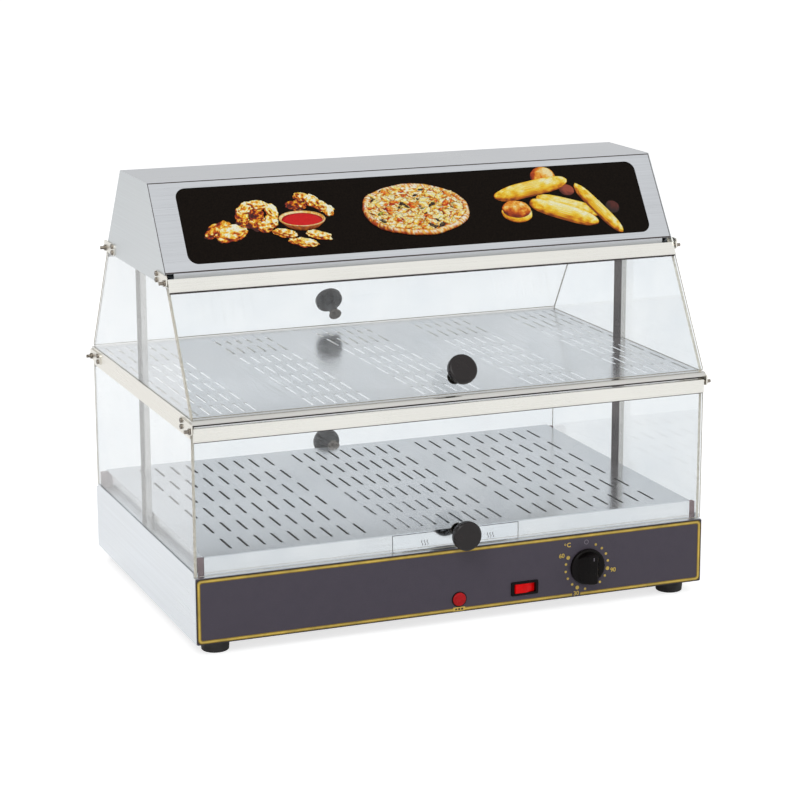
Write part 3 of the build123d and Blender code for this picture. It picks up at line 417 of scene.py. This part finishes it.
def glyphs(mesh, place, text, x, y, height, low=0.1):
    """Plain figures as thin plates."""
    curve = bpy.data.curves.new("figures", "FONT")
    curve.body = text
    curve.size = height * 1.4
    curve.extrude = 0.1 * MM
    curve.offset = 0.2 * MM
    curve.align_x = "CENTER"
    curve.align_y = "CENTER"
    holder = bpy.data.objects.new("figures", curve)
    flat = bpy.data.meshes.new_from_object(holder)
    index = {}
    for v in flat.vertices:
        index[v.index] = mesh.verts.new(place.at(x + v.co.x, y + v.co.y, low * MM + v.co.z))
    for f in flat.polygons:
        mesh.faces.new([index[i] for i in f.vertices])
    bpy.data.objects.remove(holder)
    bpy.data.curves.remove(curve)
    bpy.data.meshes.remove(flat)


def islands(node):
    """Boxes of the separate solids of a CAD node, as (lowest, highest) corners."""
    mesh = bmesh.new()
    mesh.from_mesh(nodes[node].data)
    bmesh.ops.remove_doubles(mesh, verts=mesh.verts, dist=1e-6)
    left = set(mesh.verts)
    boxes = []
    for first in mesh.verts:  # in mesh order, because a set's own order varies between runs
        if first not in left:
            continue
        left.discard(first)
        group, edge = set(), [first]
        while edge:
            v = edge.pop()
            group.add(v)
            for e in v.link_edges:
                other = e.other_vert(v)
                if other in left:
                    left.discard(other)
                    edge.append(other)
        low = Vector(min(v.co[i] for v in group) for i in range(3))
        high = Vector(max(v.co[i] for v in group) for i in range(3))
        boxes.append((low, high))
    mesh.free()
    return boxes


# ---------------------------------------------------------------- control front

film_low, film_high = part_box("front_fascia")
front = Frame((0, film_low.y, 0), X, Z)
LINE_OUT, CORE_OUT, CORE_IN, LINE_IN = 1.5 * MM, 2.6 * MM, 5.0 * MM, 6.2 * MM


def film_loop(inset):
    corner = max(1.0 * MM, 6.5 * MM - inset * 0.55)
    return rounded(film_low.x + inset, film_high.x - inset, film_low.z + inset, film_high.z - inset, corner)


mesh = bmesh.new()
ring(mesh, front, film_loop(0.15 * MM), film_loop(LINE_OUT), 0, 0.12 * MM)
finished("fascia_outline", mesh, black_ink_and_recess_shade, "case")
mesh = bmesh.new()
ring(mesh, front, film_loop(LINE_OUT), film_loop(CORE_OUT), 0, 0.18 * MM)
ring(mesh, front, film_loop(CORE_IN), film_loop(LINE_IN), 0, 0.18 * MM)
finished("fascia_gold_lines", mesh, gold_shadow, "case")
mesh = bmesh.new()
ring(mesh, front, film_loop(CORE_OUT), film_loop(CORE_IN), 0, 0.24 * MM)
finished("fascia_line_core", mesh, gold_ink, "case")

dial_low, dial_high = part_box("thermostat_dial")
dial_x, dial_z = (dial_low.x + dial_high.x) / 2, (dial_low.z + dial_high.z) / 2
SCALE_RADIUS = 34.4 * MM
BIG_DOTS = (-154, -62, 102)
SMALL_DOTS = (-176, -137, -117, -98, -79, 24, 44, 63, 82, 121, 141)
BIG_DOT, SMALL_DOT = 2.9 * MM, 1.9 * MM
FIGURES = ((-157, "30", 43 * MM), (-64, "60", 45.5 * MM), (104, "90", 44 * MM))
FIGURE_HEIGHT = 6.4 * MM
PATCH_WIDTH, PATCH_HEIGHT = 13.0 * MM, 8.4 * MM
INK = 0.2 * MM                          # how far print stands off the film


def on_scale(angle, radius=SCALE_RADIUS):
    turn = math.radians(angle)
    return dial_x + radius * math.sin(turn), dial_z + radius * math.cos(turn)


mesh = bmesh.new()
for angles, size in ((BIG_DOTS, BIG_DOT), (SMALL_DOTS, SMALL_DOT)):
    for angle in angles:
        prism(mesh, front, circle(*on_scale(angle), size, 16), 0, INK)
for angle, text, radius in FIGURES:
    glyphs(mesh, front, text, *on_scale(angle, radius), FIGURE_HEIGHT, 0.3)
glyphs(mesh, front, "C", *on_scale(-40, 46 * MM), 6.5 * MM)
degree = on_scale(-44, 51.0 * MM)
ring(mesh, front, circle(*degree, 1.5 * MM, 12), circle(*degree, 0.9 * MM, 12), 0, INK)
finished("dial_scale", mesh, gold_ink, "case")

# a patch of film that keeps the lowest figures clear of the gold line
low_x, low_z = on_scale(FIGURES[0][0], FIGURES[0][2])
mesh = bmesh.new()
patch = rounded(
    low_x - PATCH_WIDTH / 2, low_x + PATCH_WIDTH / 2,
    low_z - PATCH_HEIGHT / 2, low_z + PATCH_HEIGHT / 2, 1.5 * MM)
prism(mesh, front, patch, 0, 0.28 * MM)
finished("dial_figure_patch", mesh, fascia_film, "case")

mesh = bmesh.new()
off_mark = on_scale(-2, 37.0 * MM)
ring(mesh, front, circle(*off_mark, 3.6 * MM), circle(*off_mark, 2.7 * MM), 0, 0.15 * MM)
finished("dial_zero_mark", mesh, grey_ink_and_highlight, "case")

lamp_low, lamp_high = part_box("pilot_lamp")
pilot_x, pilot_z = (lamp_low.x + lamp_high.x) / 2, (lamp_low.z + lamp_high.z) / 2
mesh = bmesh.new()
outer, inner = circle(pilot_x, pilot_z, 11.4 * MM, 40), circle(pilot_x, pilot_z, 9.9 * MM, 40)
ring(mesh, front, outer, inner, 0, 0.9 * MM)
finished("pilot_bezel", mesh, black_plastic, "case")
mesh = bmesh.new()
tab_z = film_low.z + (LINE_OUT + LINE_IN) / 2
tab = rounded(pilot_x - 9.5 * MM, pilot_x + 9.5 * MM, tab_z - 2.3 * MM, tab_z + 3.4 * MM, 1.2 * MM)
prism(mesh, front, tab, 0, 0.28 * MM)
finished("pilot_tab", mesh, gold_ink, "case")
mesh = bmesh.new()
for step in (-1, 0, 1):
    mark = ((-1.5, -1.3), (1.5, -1.3), (1.5, 1.3), (-1.5, 1.3))
    wave = [(pilot_x + step * 4.6 * MM + a * MM, tab_z + 0.4 * MM + b * MM) for a, b in mark]
    prism(mesh, front, wave, 0.24 * MM, 0.36 * MM)
finished("pilot_tab_marks", mesh, black_ink_and_recess_shade, "case")

# concentric rings moulded in the pilot lens
lens = Frame((0, lamp_low.y, 0), X, Z)
mesh = bmesh.new()
for radius in (2.4, 4.6, 6.8):
    outer = circle(pilot_x, pilot_z, (radius + 0.45) * MM, 32)
    inner = circle(pilot_x, pilot_z, (radius - 0.45) * MM, 32)
    ring(mesh, lens, outer, inner, -0.2 * MM, 0.22 * MM)
finished("pilot_lens_rings", mesh, pilot_lens, "case")

# a raised light-grey line on the dial's blade: a painted highlight along the blade's top, which also stands
# as a pointer mark
blade = Frame((dial_x, dial_low.y, dial_z), X, Z)
mesh = bmesh.new()
prism(mesh, blade, rounded(-0.7 * MM, 0.7 * MM, 14 * MM, 19 * MM, 0.6 * MM, 4), -0.2 * MM, 0.15 * MM)
finished("dial_pointer_highlight", mesh, grey_ink_and_highlight, "thermostat_dial")

# ---------------------------------------------------------------- seams, seals and fittings

roof_low, roof_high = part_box("canopy_end_left")
canopy_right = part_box("canopy_shell")[1].x
ROOF_HALF = 67.0 * MM
slope = math.atan2(-roof_low.y - ROOF_HALF, roof_high.z - roof_low.z)


def roof_slope(facing):
    """The canopy's sloping sheet; along runs down it. facing is -1 at the front and 1 at the rear."""
    down = Vector((0, facing * math.sin(slope), -math.cos(slope)))
    return Frame((0, facing * ROOF_HALF, roof_high.z), X * facing, down)


SLOPE_LENGTH = 141.0 * MM
SEAM = (-0.1 * MM, 0.06 * MM)            # its foot under the sheet and its top over it
for facing, label in ((-1, "front"), (1, "rear")):
    sheet = roof_slope(facing)
    mesh = bmesh.new()
    reach = canopy_right
    for top, bottom in ((1.2 * MM, 2.7 * MM), (SLOPE_LENGTH - 2.3 * MM, SLOPE_LENGTH - 0.2 * MM)):
        prism(mesh, sheet, [(-reach, top), (reach, top), (reach, bottom), (-reach, bottom)], *SEAM)
    for side in (-1, 1):
        a, b = sorted((side * (reach - 0.2 * MM), side * (reach - 1.1 * MM)))
        top, bottom = 3 * MM, SLOPE_LENGTH - 2 * MM
        prism(mesh, sheet, [(a, top), (b, top), (b, bottom), (a, bottom)], *SEAM)
    finished(f"canopy_seams_{label}", mesh, seal_rubber_and_shadow, "case")

    # dark bead under the shelf's bright edge: a painted shadow line for the gap below the edge
    edge_low, edge_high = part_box(f"shelf_edge_{label}")
    inner_y = edge_high.y if facing < 0 else edge_low.y
    outer_y = edge_low.y if facing < 0 else edge_high.y
    under = Frame((0, (inner_y * 0.35 + outer_y * 0.65), edge_low.z), X, -Y)
    mesh = bmesh.new()
    bead(mesh, under, edge_low.x + 2 * MM, edge_high.x - 2 * MM, 3.2 * MM, 10, 0.36)
    finished(f"shelf_shadow_line_{label}", mesh, seal_rubber_and_shadow, "case")

# dark ribbed blocks that close the gaps beside the deck
deck_low, deck_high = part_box("deck_frame")
pane_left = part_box("lower_side_glass_right")[0].x
for side, label in ((-1, "left"), (1, "right")):
    mesh = bmesh.new()
    for facing in (-1, 1):
        near = Frame((0, facing * (deck_high.y - 1 * MM), 0), X * -facing, Z)
        a, b = sorted((-facing * side * (deck_high.x + 0.2 * MM), -facing * side * (pane_left - 1.6 * MM)))
        block = rounded(a, b, deck_low.z + 0.05 * MM, deck_high.z - 0.6 * MM, 1.2 * MM, 4)
        prism(mesh, near, block, -6 * MM, 0)
        for k in range(3):
            x = a + (b - a) * (k + 0.5) / 3
            rib = rounded(x - 0.7 * MM, x + 0.7 * MM, deck_low.z + 2 * MM, deck_high.z - 3 * MM, 0.4 * MM, 2)
            prism(mesh, near, rib, -0.1 * MM, 0.35 * MM)
    finished(f"deck_end_blocks_{label}", mesh, end_gap_block, "case")

# embossed vapour marks on the drawer's front
tray = Frame((0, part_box("water_drawer")[0].y, 0), X, Z)
mesh = bmesh.new()
for middle in (-48 * MM, 54 * MM):
    for step in (-1, 0, 1):
        path = []
        for k in range(13):
            t = k / 12
            swing = 1.0 * MM * math.sin(t * 2 * math.pi)
            path.append((middle + step * 4.2 * MM + swing, 121.0 * MM + t * 8.0 * MM))
        left = [(a - 0.42 * MM, b) for a, b in path]
        right = [(a + 0.42 * MM, b) for a, b in reversed(path)]
        prism(mesh, tray, left + right, -0.1 * MM, 0.25 * MM)
finished("drawer_vapour_marks", mesh, inner_steel, "water_drawer")

# glazing beads under each door's top strip
for door in DOORS:
    facing = -1 if "front" in door else 1
    hinge = next(j for j in frame["joints"] if j["name"] == f"{door}_hinge")
    pin = Vector(hinge["pos_m"])
    glass_low, glass_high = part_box(f"{door}_glass")
    foot_y = -glass_low.y if facing < 0 else glass_high.y
    run, fall, half = foot_y - abs(pin.y), pin.z - glass_low.z, 2.0 * MM
    tilt = 0.0
    for _ in range(8):
        tilt = math.atan2(run - half * math.cos(tilt), fall - half * math.sin(tilt))
    outward = Vector((0, facing * math.cos(tilt), math.sin(tilt)))
    down = Vector((0, facing * math.sin(tilt), -math.cos(tilt)))
    strip_low, strip_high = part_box(f"{door}_top_strip")
    mesh = bmesh.new()
    for face in (1, -1):
        place = Frame(pin + outward * face * half + down * 16.4 * MM, X * facing * face, down)
        bead(mesh, place, strip_low.x + 1 * MM, strip_high.x - 1 * MM, 0.75 * MM, 6, 0.8)
    finished(f"{door}_glazing_bead", mesh, seal_rubber_and_shadow, f"{door}_door")
    # rolled bright nose along the strip's lower edge
    mesh = bmesh.new()
    for face in (1, -1):
        place = Frame(pin + outward * face * 4.0 * MM + down * 14.6 * MM, X * facing * face, down)
        bead(mesh, place, strip_low.x + 0.6 * MM, strip_high.x - 0.6 * MM, 0.8 * MM, 6, 0.5)
    finished(f"{door}_strip_nose", mesh, strip_steel, f"{door}_door")

# dark crosses on the screw heads: painted shade standing for the cross recess in each head


def recesses(node, axis_of, size):
    """Thin dark crosses on the outer ends of a node's screws, painted shade for the cross recess in each
    head.
    """
    mesh = bmesh.new()
    for low, high in islands(node):
        place = axis_of(low, high)
        for a, b in ((size, size * 0.22), (size * 0.22, size)):
            prism(mesh, place, [(-a, -b), (a, -b), (a, b), (-a, b)], -0.1 * MM, 0.06 * MM)
    return mesh


def beside(low, high):
    middle = (low + high) / 2
    side = 1 if middle.x > 0 else -1
    return Frame((high.x if side > 0 else low.x, middle.y, middle.z), Y * side, Z)


def beneath(low, high):
    middle = (low + high) / 2
    return Frame((middle.x, middle.y, low.z), Y, X)


RECESS = 2.0 * MM
for screws, facing_out in (("bracket", beside), ("base", beneath)):
    crosses = recesses(f"{screws}_screws", facing_out, RECESS)
    finished(f"{screws}_screw_recess_shade", crosses, black_ink_and_recess_shade, "case")

# ---------------------------------------------------------------- printed food on the sign

SIGN = roof_slope(-1)
SIGN = Frame(SIGN.origin, X, Vector((0, -math.sin(slope), -math.cos(slope))))
SIGN.out = Vector((0, -math.cos(slope), math.sin(slope)))
SIGN_FACE = -1.2 * MM
SUN = Vector((0.42, -0.52, 0.74)).normalized()

FRIED = (
    (0.0, (58, 6, 0)), (0.22, (142, 28, 2)), (0.42, (212, 88, 4)), (0.58, (246, 164, 12)),
    (0.74, (255, 216, 66)), (0.9, (255, 246, 176)), (1.0, (255, 255, 236)))
BREAD = (
    (0.0, (112, 44, 0)), (0.25, (200, 104, 4)), (0.45, (238, 170, 16)), (0.62, (252, 212, 52)),
    (0.8, (255, 238, 138)), (1.0, (255, 253, 222)))
BUN = (
    (0.0, (96, 20, 2)), (0.35, (176, 62, 4)), (0.6, (226, 116, 18)), (0.8, (250, 182, 66)),
    (1.0, (255, 236, 176)))
DUSK = ((0.0, (30, 12, 10)), (0.5, (92, 34, 26)), (1.0, (160, 76, 54)))
SAUCE = ((0.0, (120, 0, 2)), (0.5, (204, 8, 12)), (0.9, (226, 26, 24)), (1.0, (250, 120, 100)))
BOWL = (
    (0.0, (120, 44, 6)), (0.35, (214, 120, 20)), (0.6, (244, 178, 70)), (0.85, (255, 226, 150)),
    (1.0, (255, 246, 214)))
CHEESE = (
    (0.0, (134, 24, 0)), (0.22, (208, 80, 0)), (0.4, (242, 158, 10)), (0.56, (252, 208, 52)),
    (0.72, (255, 240, 140)), (0.9, (255, 253, 214)), (1.0, (255, 255, 244)))
CRUST = (
    (0.0, (84, 14, 2)), (0.3, (166, 46, 4)), (0.52, (222, 112, 16)), (0.72, (250, 190, 70)),
    (0.9, (255, 240, 190)), (1.0, (255, 252, 236)))
OLIVE = ((0.0, (12, 6, 4)), (0.7, (40, 24, 12)), (1.0, (120, 96, 60)))
PEPPER = ((0.0, (110, 10, 0)), (0.5, (206, 52, 6)), (0.8, (240, 120, 20)), (1.0, (252, 190, 80)))
HERB = ((0.0, (40, 40, 6)), (0.6, (120, 116, 20)), (1.0, (200, 196, 80)))


def toned(tones, level):
    """Linear colour at a level of a list of sRGB tones."""
    level = min(1.0, max(0.0, level))
    for (a, first), (b, second) in zip(tones, tones[1:]):
        if level <= b:
            t = (level - a) / (b - a)
            return srgb(*(p + (q - p) * t for p, q in zip(first, second)))
    return srgb(*tones[-1][1])


def ball(steps):
    """Points and triangles of a unit sphere."""
    mesh = bmesh.new()
    bmesh.ops.create_icosphere(mesh, subdivisions=steps, radius=1.0)
    points = np.array([v.co for v in mesh.verts])
    faces = np.array([[v.index for v in f.verts] for f in mesh.faces])
    mesh.free()
    return points, faces


BALLS = {steps: ball(steps) for steps in (3, 5)}


class Picture:
    """Solid food shapes flattened onto the sign, with their light and shade printed on them.
    The shapes are in millimetres: across, down the slope, and towards the viewer."""

    def __init__(self, squash):
        self.squash = squash
        self.points, self.faces, self.ink = [], [], []

    def print_on(self, points, faces, tones, grain, rough, lift=0.0):
        """Colours a closed shape by its own normals, and adds it to the picture."""
        normals = np.zeros_like(points)
        if faces.shape[1] == 3:
            a, b, c = (points[faces[:, k]] for k in range(3))
            across = np.cross(b - a, c - a)
        else:
            a, b, c, d = (points[faces[:, k]] for k in range(4))
            across = np.cross(c - a, d - b)
        for k in range(faces.shape[1]):
            np.add.at(normals, faces[:, k], across)
        if np.sum(np.sum(a * across, axis=1)) - np.sum(points.mean(0) * across) < 0:
            normals = -normals
        normals /= np.maximum(np.linalg.norm(normals, axis=1), 1e-9)[:, None]
        light = np.maximum(0.0, normals @ np.array(SUN))
        for point, level in zip(points, light):
            spot = Vector(point) * grain
            mottle = noise.noise(spot) * rough + noise.noise(spot * 3.1) * rough * 0.6
            self.ink.append((*toned(tones, 0.12 + 0.82 * level + mottle + lift), 1.0))
        start = sum(len(p) for p in self.points)
        self.points.append(points)
        self.faces += (faces + start).tolist()
        return start

    def blob(self, x, s, depth, radii, turn, tones, bumps=0.12, rough=0.18, blunt=1.0, lift=0.0, steps=5):
        """One lump."""
        unit, faces = BALLS[steps]
        swing = Matrix.Rotation(math.radians(turn), 3, "Z")
        seed = Vector((x * 0.37, s * 0.53, depth * 0.71))
        points = []
        for row in unit:
            p = Vector(row)
            swell = 1 + bumps * (noise.noise(p * 1.9 + seed) + 0.3 * noise.noise(p * 4.5 + seed))
            p = Vector((math.copysign(abs(p.x) ** blunt, p.x), p.y, p.z)) * swell
            point = Vector((p.x * radii[0], p.y * radii[1], p.z * radii[2]))
            points.append(swing @ point + Vector((x, s, depth)))
        self.print_on(np.array(points), faces, tones, 1.6 / max(radii[1], 4.0), rough, lift)

    def turned(self, x, s, depth, profile, rise, tilt, tones,
               bumps=0.0, rough=0.1, segments=96, grain=0.3, lift=0.0):
        """A round dish seen from above by the angle rise; the profile is (radius, height) pairs."""
        lean = Matrix.Rotation(math.radians(tilt), 3, "Z")
        up = math.radians(rise)
        points = []
        for radius, height in profile:
            for k in range(segments):
                turn = 2 * math.pi * k / segments
                around = Vector((math.cos(turn) * 3, math.sin(turn) * 3, radius * 0.02))
                wobble = 1 + bumps * noise.noise(around)
                p, q = radius * wobble * math.cos(turn), radius * wobble * math.sin(turn)
                h = height + bumps * 16 * noise.noise(Vector((p * 0.16, q * 0.16, 3.0)))
                point = Vector((p, q * math.sin(up) - h * math.cos(up), q * math.cos(up) + h * math.sin(up)))
                points.append(lean @ point + Vector((x, s, depth)))
        faces = []
        for r in range(len(profile) - 1):
            low, high = r * segments, (r + 1) * segments
            for k in range(segments):
                j = (k + 1) % segments
                faces.append((low + k, low + j, high + j, high + k))
        start = self.print_on(np.array(points), np.array(faces), tones, grain, rough, lift)
        self.faces.append([start + k for k in range(segments)])
        self.faces.append([start + len(points) - 1 - k for k in range(segments)])

    def done(self, name):
        flat = np.concatenate(self.points)
        placed = [SIGN.at(x * MM, s * MM, SIGN_FACE + z * MM * self.squash) for x, s, z in flat]
        data = bpy.data.meshes.new(name)
        data.from_pydata(placed, [], self.faces)
        ink = data.color_attributes.new("Print", "FLOAT_COLOR", "POINT")
        ink.data.foreach_set("color", np.array(self.ink, np.float32).ravel())
        mesh = bmesh.new()
        mesh.from_mesh(data)
        bpy.data.meshes.remove(data)
        return finished(name, mesh, food_print, "case", smooth=True)


# fried pieces round a bowl of sauce
picture = Picture(0.011)
for x, s, depth, radii, turn, lift in (
    (-304, 79, 9, (21, 9, 8), -27, -0.16),
    (-284, 86, 15, (24, 12, 9), -15, 0.06),
    (-262, 59, 12, (11, 14, 9), 30, 0.02),
    (-256, 49, 15, (13, 9, 8), -35, 0.08),
    (-238, 45, 16, (16, 8, 8), 5, 0.08),
    (-219, 56, 16, (9, 13, 8), -15, 0.1),
    (-224, 72, 18, (11, 10, 8), -20, 0.04),
    (-243, 60, 17, (12, 10, 7), 10, -0.42),
    (-263, 71, 14, (11, 8, 7), 25, -0.3),
    (-246, 75, 20, (11, 9, 8), 15, -0.24),
    (-234, 79, 22, (12, 8, 6), 10, 0.06),
    (-181, 49, 8, (15, 8, 6), 5, -0.36),
    (-170, 37, 12, (12, 8, 8), 12, -0.08),
    (-157, 43, 15, (11, 9, 8), 30, 0.12),
    (-145, 51, 18, (11, 8, 8), 35, 0.06),
    (-134, 60, 22, (8, 8, 6), 50, 0.2),
    (-206, 91, 84, (18, 6.5, 5), 12, -0.04),
    (-180, 107, 86, (20, 7, 5), 11, 0.0),
    (-156, 97.5, 84, (19, 7, 5), 15, 0.02),
):
    picture.blob(x, s, depth, radii, turn, FRIED, bumps=0.3, rough=0.6, lift=lift)
bowl = ((0.5, -13), (16, -13), (25, -10), (32, -3), (35, 0), (34.5, 1.5), (32, 1), (31, -2), (0.5, -2))
sauce = ((0.5, -3), (30.6, -3), (30.6, -1.2), (23, -0.6), (9, -0.4), (0.5, -0.4))
bowl_x, bowl_s, BOWL_RISE, BOWL_LEAN = -176, 70.5, 20.3, 3
picture.turned(bowl_x, bowl_s, 46, bowl, BOWL_RISE, BOWL_LEAN, BOWL, rough=0.3)
picture.turned(bowl_x, bowl_s, 47, sauce, BOWL_RISE, BOWL_LEAN, SAUCE, bumps=0.015, rough=0.12)
picture.done("sign_fried_pieces")

# a round pie with its toppings
picture = Picture(0.0065)
PIE = 82.5                              # its radius
RISE = 28.5                             # how far its face is raised towards the eye, degrees
LEAN = 3.9                              # its turn on the sign, degrees
TOPPING_HEIGHT = 3.5
pie_x, pie_s, pie_depth = -1.5, 68.5, 78
rim = [(0.5, -3.5)]
rim += [(PIE * share, height) for share, height in (
    (0.93, -3.5), (0.99, -2), (1, 1.5), (0.975, 4.5), (0.94, 5.2), (0.9, 4.2), (0.88, 0.6))]
top = [(PIE * 0.9, 0.5), (PIE * 0.9, 3.2)]
top += [(PIE * (0.88 - 0.0218 * k), 2.2) for k in range(41)]
picture.turned(
    pie_x, pie_s, pie_depth, rim, RISE, LEAN, CRUST, bumps=0.04, rough=0.6, segments=220)
picture.turned(
    pie_x, pie_s, pie_depth, top, RISE, LEAN, CHEESE,
    bumps=0.06, rough=1.0, segments=260, grain=0.2, lift=-0.16)
chance = random.Random(7)
lean = Matrix.Rotation(math.radians(LEAN), 3, "Z")
up = math.radians(RISE)
for tones, count, size in (
    (CHEESE, 60, 8.0),
    (FRIED, 54, 7.6),
    (PEPPER, 34, 7.0),
    (CHEESE, 34, 6.4),
    (OLIVE, 28, 5.0),
    (HERB, 12, 4.0),
):
    for _ in range(count):
        radius = PIE * 0.88 * math.sqrt(chance.random())
        turn = chance.random() * 2 * math.pi
        p, q = radius * math.cos(turn), radius * math.sin(turn)
        spot = lean @ Vector((
            p,
            q * math.sin(up) - TOPPING_HEIGHT * math.cos(up),
            q * math.cos(up) + TOPPING_HEIGHT * math.sin(up)))
        wide = size * chance.uniform(0.6, 1.3)
        radii = (wide, wide * chance.uniform(0.35, 0.6), wide * 0.5)
        picture.blob(
            spot.x + pie_x, spot.y + pie_s, spot.z + pie_depth,
            radii, chance.uniform(-50, 50), tones, 0.5, 0.45, steps=3)
picture.done("sign_round_pie")

# long rolls and two buns
picture = Picture(0.018)


def roll(x0, s0, x1, s1, thick, depth, lift=0.0):
    length = math.hypot(x1 - x0, s1 - s0) / 2
    turn = math.degrees(math.atan2(s1 - s0, x1 - x0))
    radii = (length, thick, thick * 0.8)
    picture.blob(
        (x0 + x1) / 2, (s0 + s1) / 2, depth, radii, turn, BREAD,
        bumps=0.03, rough=0.34, blunt=0.6, lift=lift)


picture.blob(210, 29, 8, (20, 17, 11), 0, BUN, bumps=0.05, rough=0.3)
picture.blob(243, 52, 8, (12, 9, 7), 10, DUSK, bumps=0.05, lift=0.3)
picture.blob(310, 84, 4, (11, 10, 6), 20, DUSK, bumps=0.05, lift=-0.45)
roll(124.5, 57, 247, 36, 12.5, 20, lift=-0.06)
picture.blob(155, 84, 15, (24, 15, 9), 4, BREAD, bumps=0.06, rough=0.2, lift=0.1)
picture.blob(155, 78, 24, (22.5, 14, 10), 4, BUN, bumps=0.05, rough=0.35, lift=-0.04)
roll(190, 62, 286, 93, 12.0, 15, lift=-0.1)
roll(178, 68, 281, 107, 13.0, 26, lift=-0.02)
roll(257, 44, 316, 126, 10.0, 34, lift=-0.1)
picture.done("sign_rolls_and_buns")

# ---------------------------------------------------------------- floor, light and camera

plain = Shader("studio_floor", roughness=0.9)
plain.set(base_color=plain.ramp(plain.noise(1.5), (0.3, (0.56, 0.56, 0.56)), (0.7, (0.6, 0.6, 0.6))))
plain.set(emission_color=(1.0, 1.0, 1.0))
rays = plain.node("LightPath").outputs
mirrored = plain.math("MAXIMUM", rays["Is Glossy Ray"], rays["Is Transmission Ray"])
mirrored = plain.math("MULTIPLY", mirrored, 0.56)
straight = plain.math("MULTIPLY", rays["Is Camera Ray"], 0.7)
plain.put(plain.main.inputs["Emission Strength"], plain.math("MAXIMUM", mirrored, straight))
mesh = bmesh.new()
bmesh.ops.create_grid(mesh, x_segments=8, y_segments=8, size=30)
data = bpy.data.meshes.new("studio_floor")
mesh.to_mesh(data)
mesh.free()
data.materials.append(plain.material)
floor = bpy.data.objects.new("studio_floor", data)
floor.location = (0, 0, cad_low.z - 0.0002)
bpy.context.scene.collection.objects.link(floor)

world = bpy.data.worlds.new("studio")
bpy.context.scene.world = world
world.use_nodes = True
tree = world.node_tree
sky = tree.nodes["Background"]
sky.inputs["Color"].default_value = (1, 1, 1, 1)
rays = tree.nodes.new("ShaderNodeLightPath").outputs


def world_node(kind, *inputs, **settings):
    made = tree.nodes.new("ShaderNode" + kind)
    for key, value in settings.items():
        setattr(made, key, value)
    for socket, value in zip(made.inputs, inputs):
        if isinstance(value, bpy.types.NodeSocket):
            tree.links.new(value, socket)
        else:
            socket.default_value = value
    return made.outputs[0]


# white to the eye and through glass, softer on surfaces, and a little greyer behind in reflections
direct = world_node("Math", rays["Is Camera Ray"], rays["Is Transmission Ray"], operation="MAXIMUM")
white = world_node("Math", direct, rays["Is Glossy Ray"], operation="MAXIMUM")
strength = world_node("MapRange", white, 0.0, 1.0, 0.55, 1.0)
heading = tree.nodes.new("ShaderNodeSeparateXYZ")
tree.links.new(tree.nodes.new("ShaderNodeTexCoord").outputs["Generated"], heading.inputs[0])
behind = world_node("MapRange", heading.outputs["Y"], -1.0, 1.0, 1.08, 0.83)
greyer = world_node("MapRange", rays["Is Glossy Ray"], 0.0, 1.0, 1.0, behind)
tree.links.new(world_node("Math", strength, greyer, operation="MULTIPLY"), sky.inputs["Strength"])


def area_light(name, place, aim, size, power, glossy=False):
    data = bpy.data.lights.new(name, "AREA")
    data.shape = "RECTANGLE"
    data.size, data.size_y = size
    data.energy = power
    made = bpy.data.objects.new(name, data)
    made.location = place
    made.rotation_euler = (Vector(aim) - Vector(place)).to_track_quat("-Z", "Y").to_euler()
    made.visible_glossy = glossy
    bpy.context.scene.collection.objects.link(made)


CENTRE = (cad_low + cad_high) / 2
area_light("key", (-2.2, -3.0, 3.4), CENTRE, (2.6, 2.6), 62, glossy=True)
area_light("fill", (3.4, -2.2, 1.8), CENTRE, (2.4, 2.4), 22)
area_light("back", (0.6, 3.0, 2.6), CENTRE, (3.0, 2.0), 30)

AZIMUTH, ELEVATION, ROLL, DISTANCE = -0.3787, 0.2359, -0.0033, 3.744
TARGET = Vector((0.0146, 0.0, 0.2724))
back = Vector((
    math.sin(AZIMUTH) * math.cos(ELEVATION),
    -math.cos(AZIMUTH) * math.cos(ELEVATION),
    math.sin(ELEVATION)))
data = bpy.data.cameras.new("camera")
data.sensor_width = 36.0
data.lens = 2476.6 * 36.0 / 800.0
camera = bpy.data.objects.new("camera", data)
camera.location = TARGET + back * DISTANCE
camera.rotation_mode = "QUATERNION"
camera.rotation_quaternion = (-back).to_track_quat("-Z", "Y") @ Matrix.Rotation(ROLL, 3, "Z").to_quaternion()
bpy.context.scene.collection.objects.link(camera)
bpy.context.scene.camera = camera
bpy.context.scene.view_settings.view_transform = "Standard"
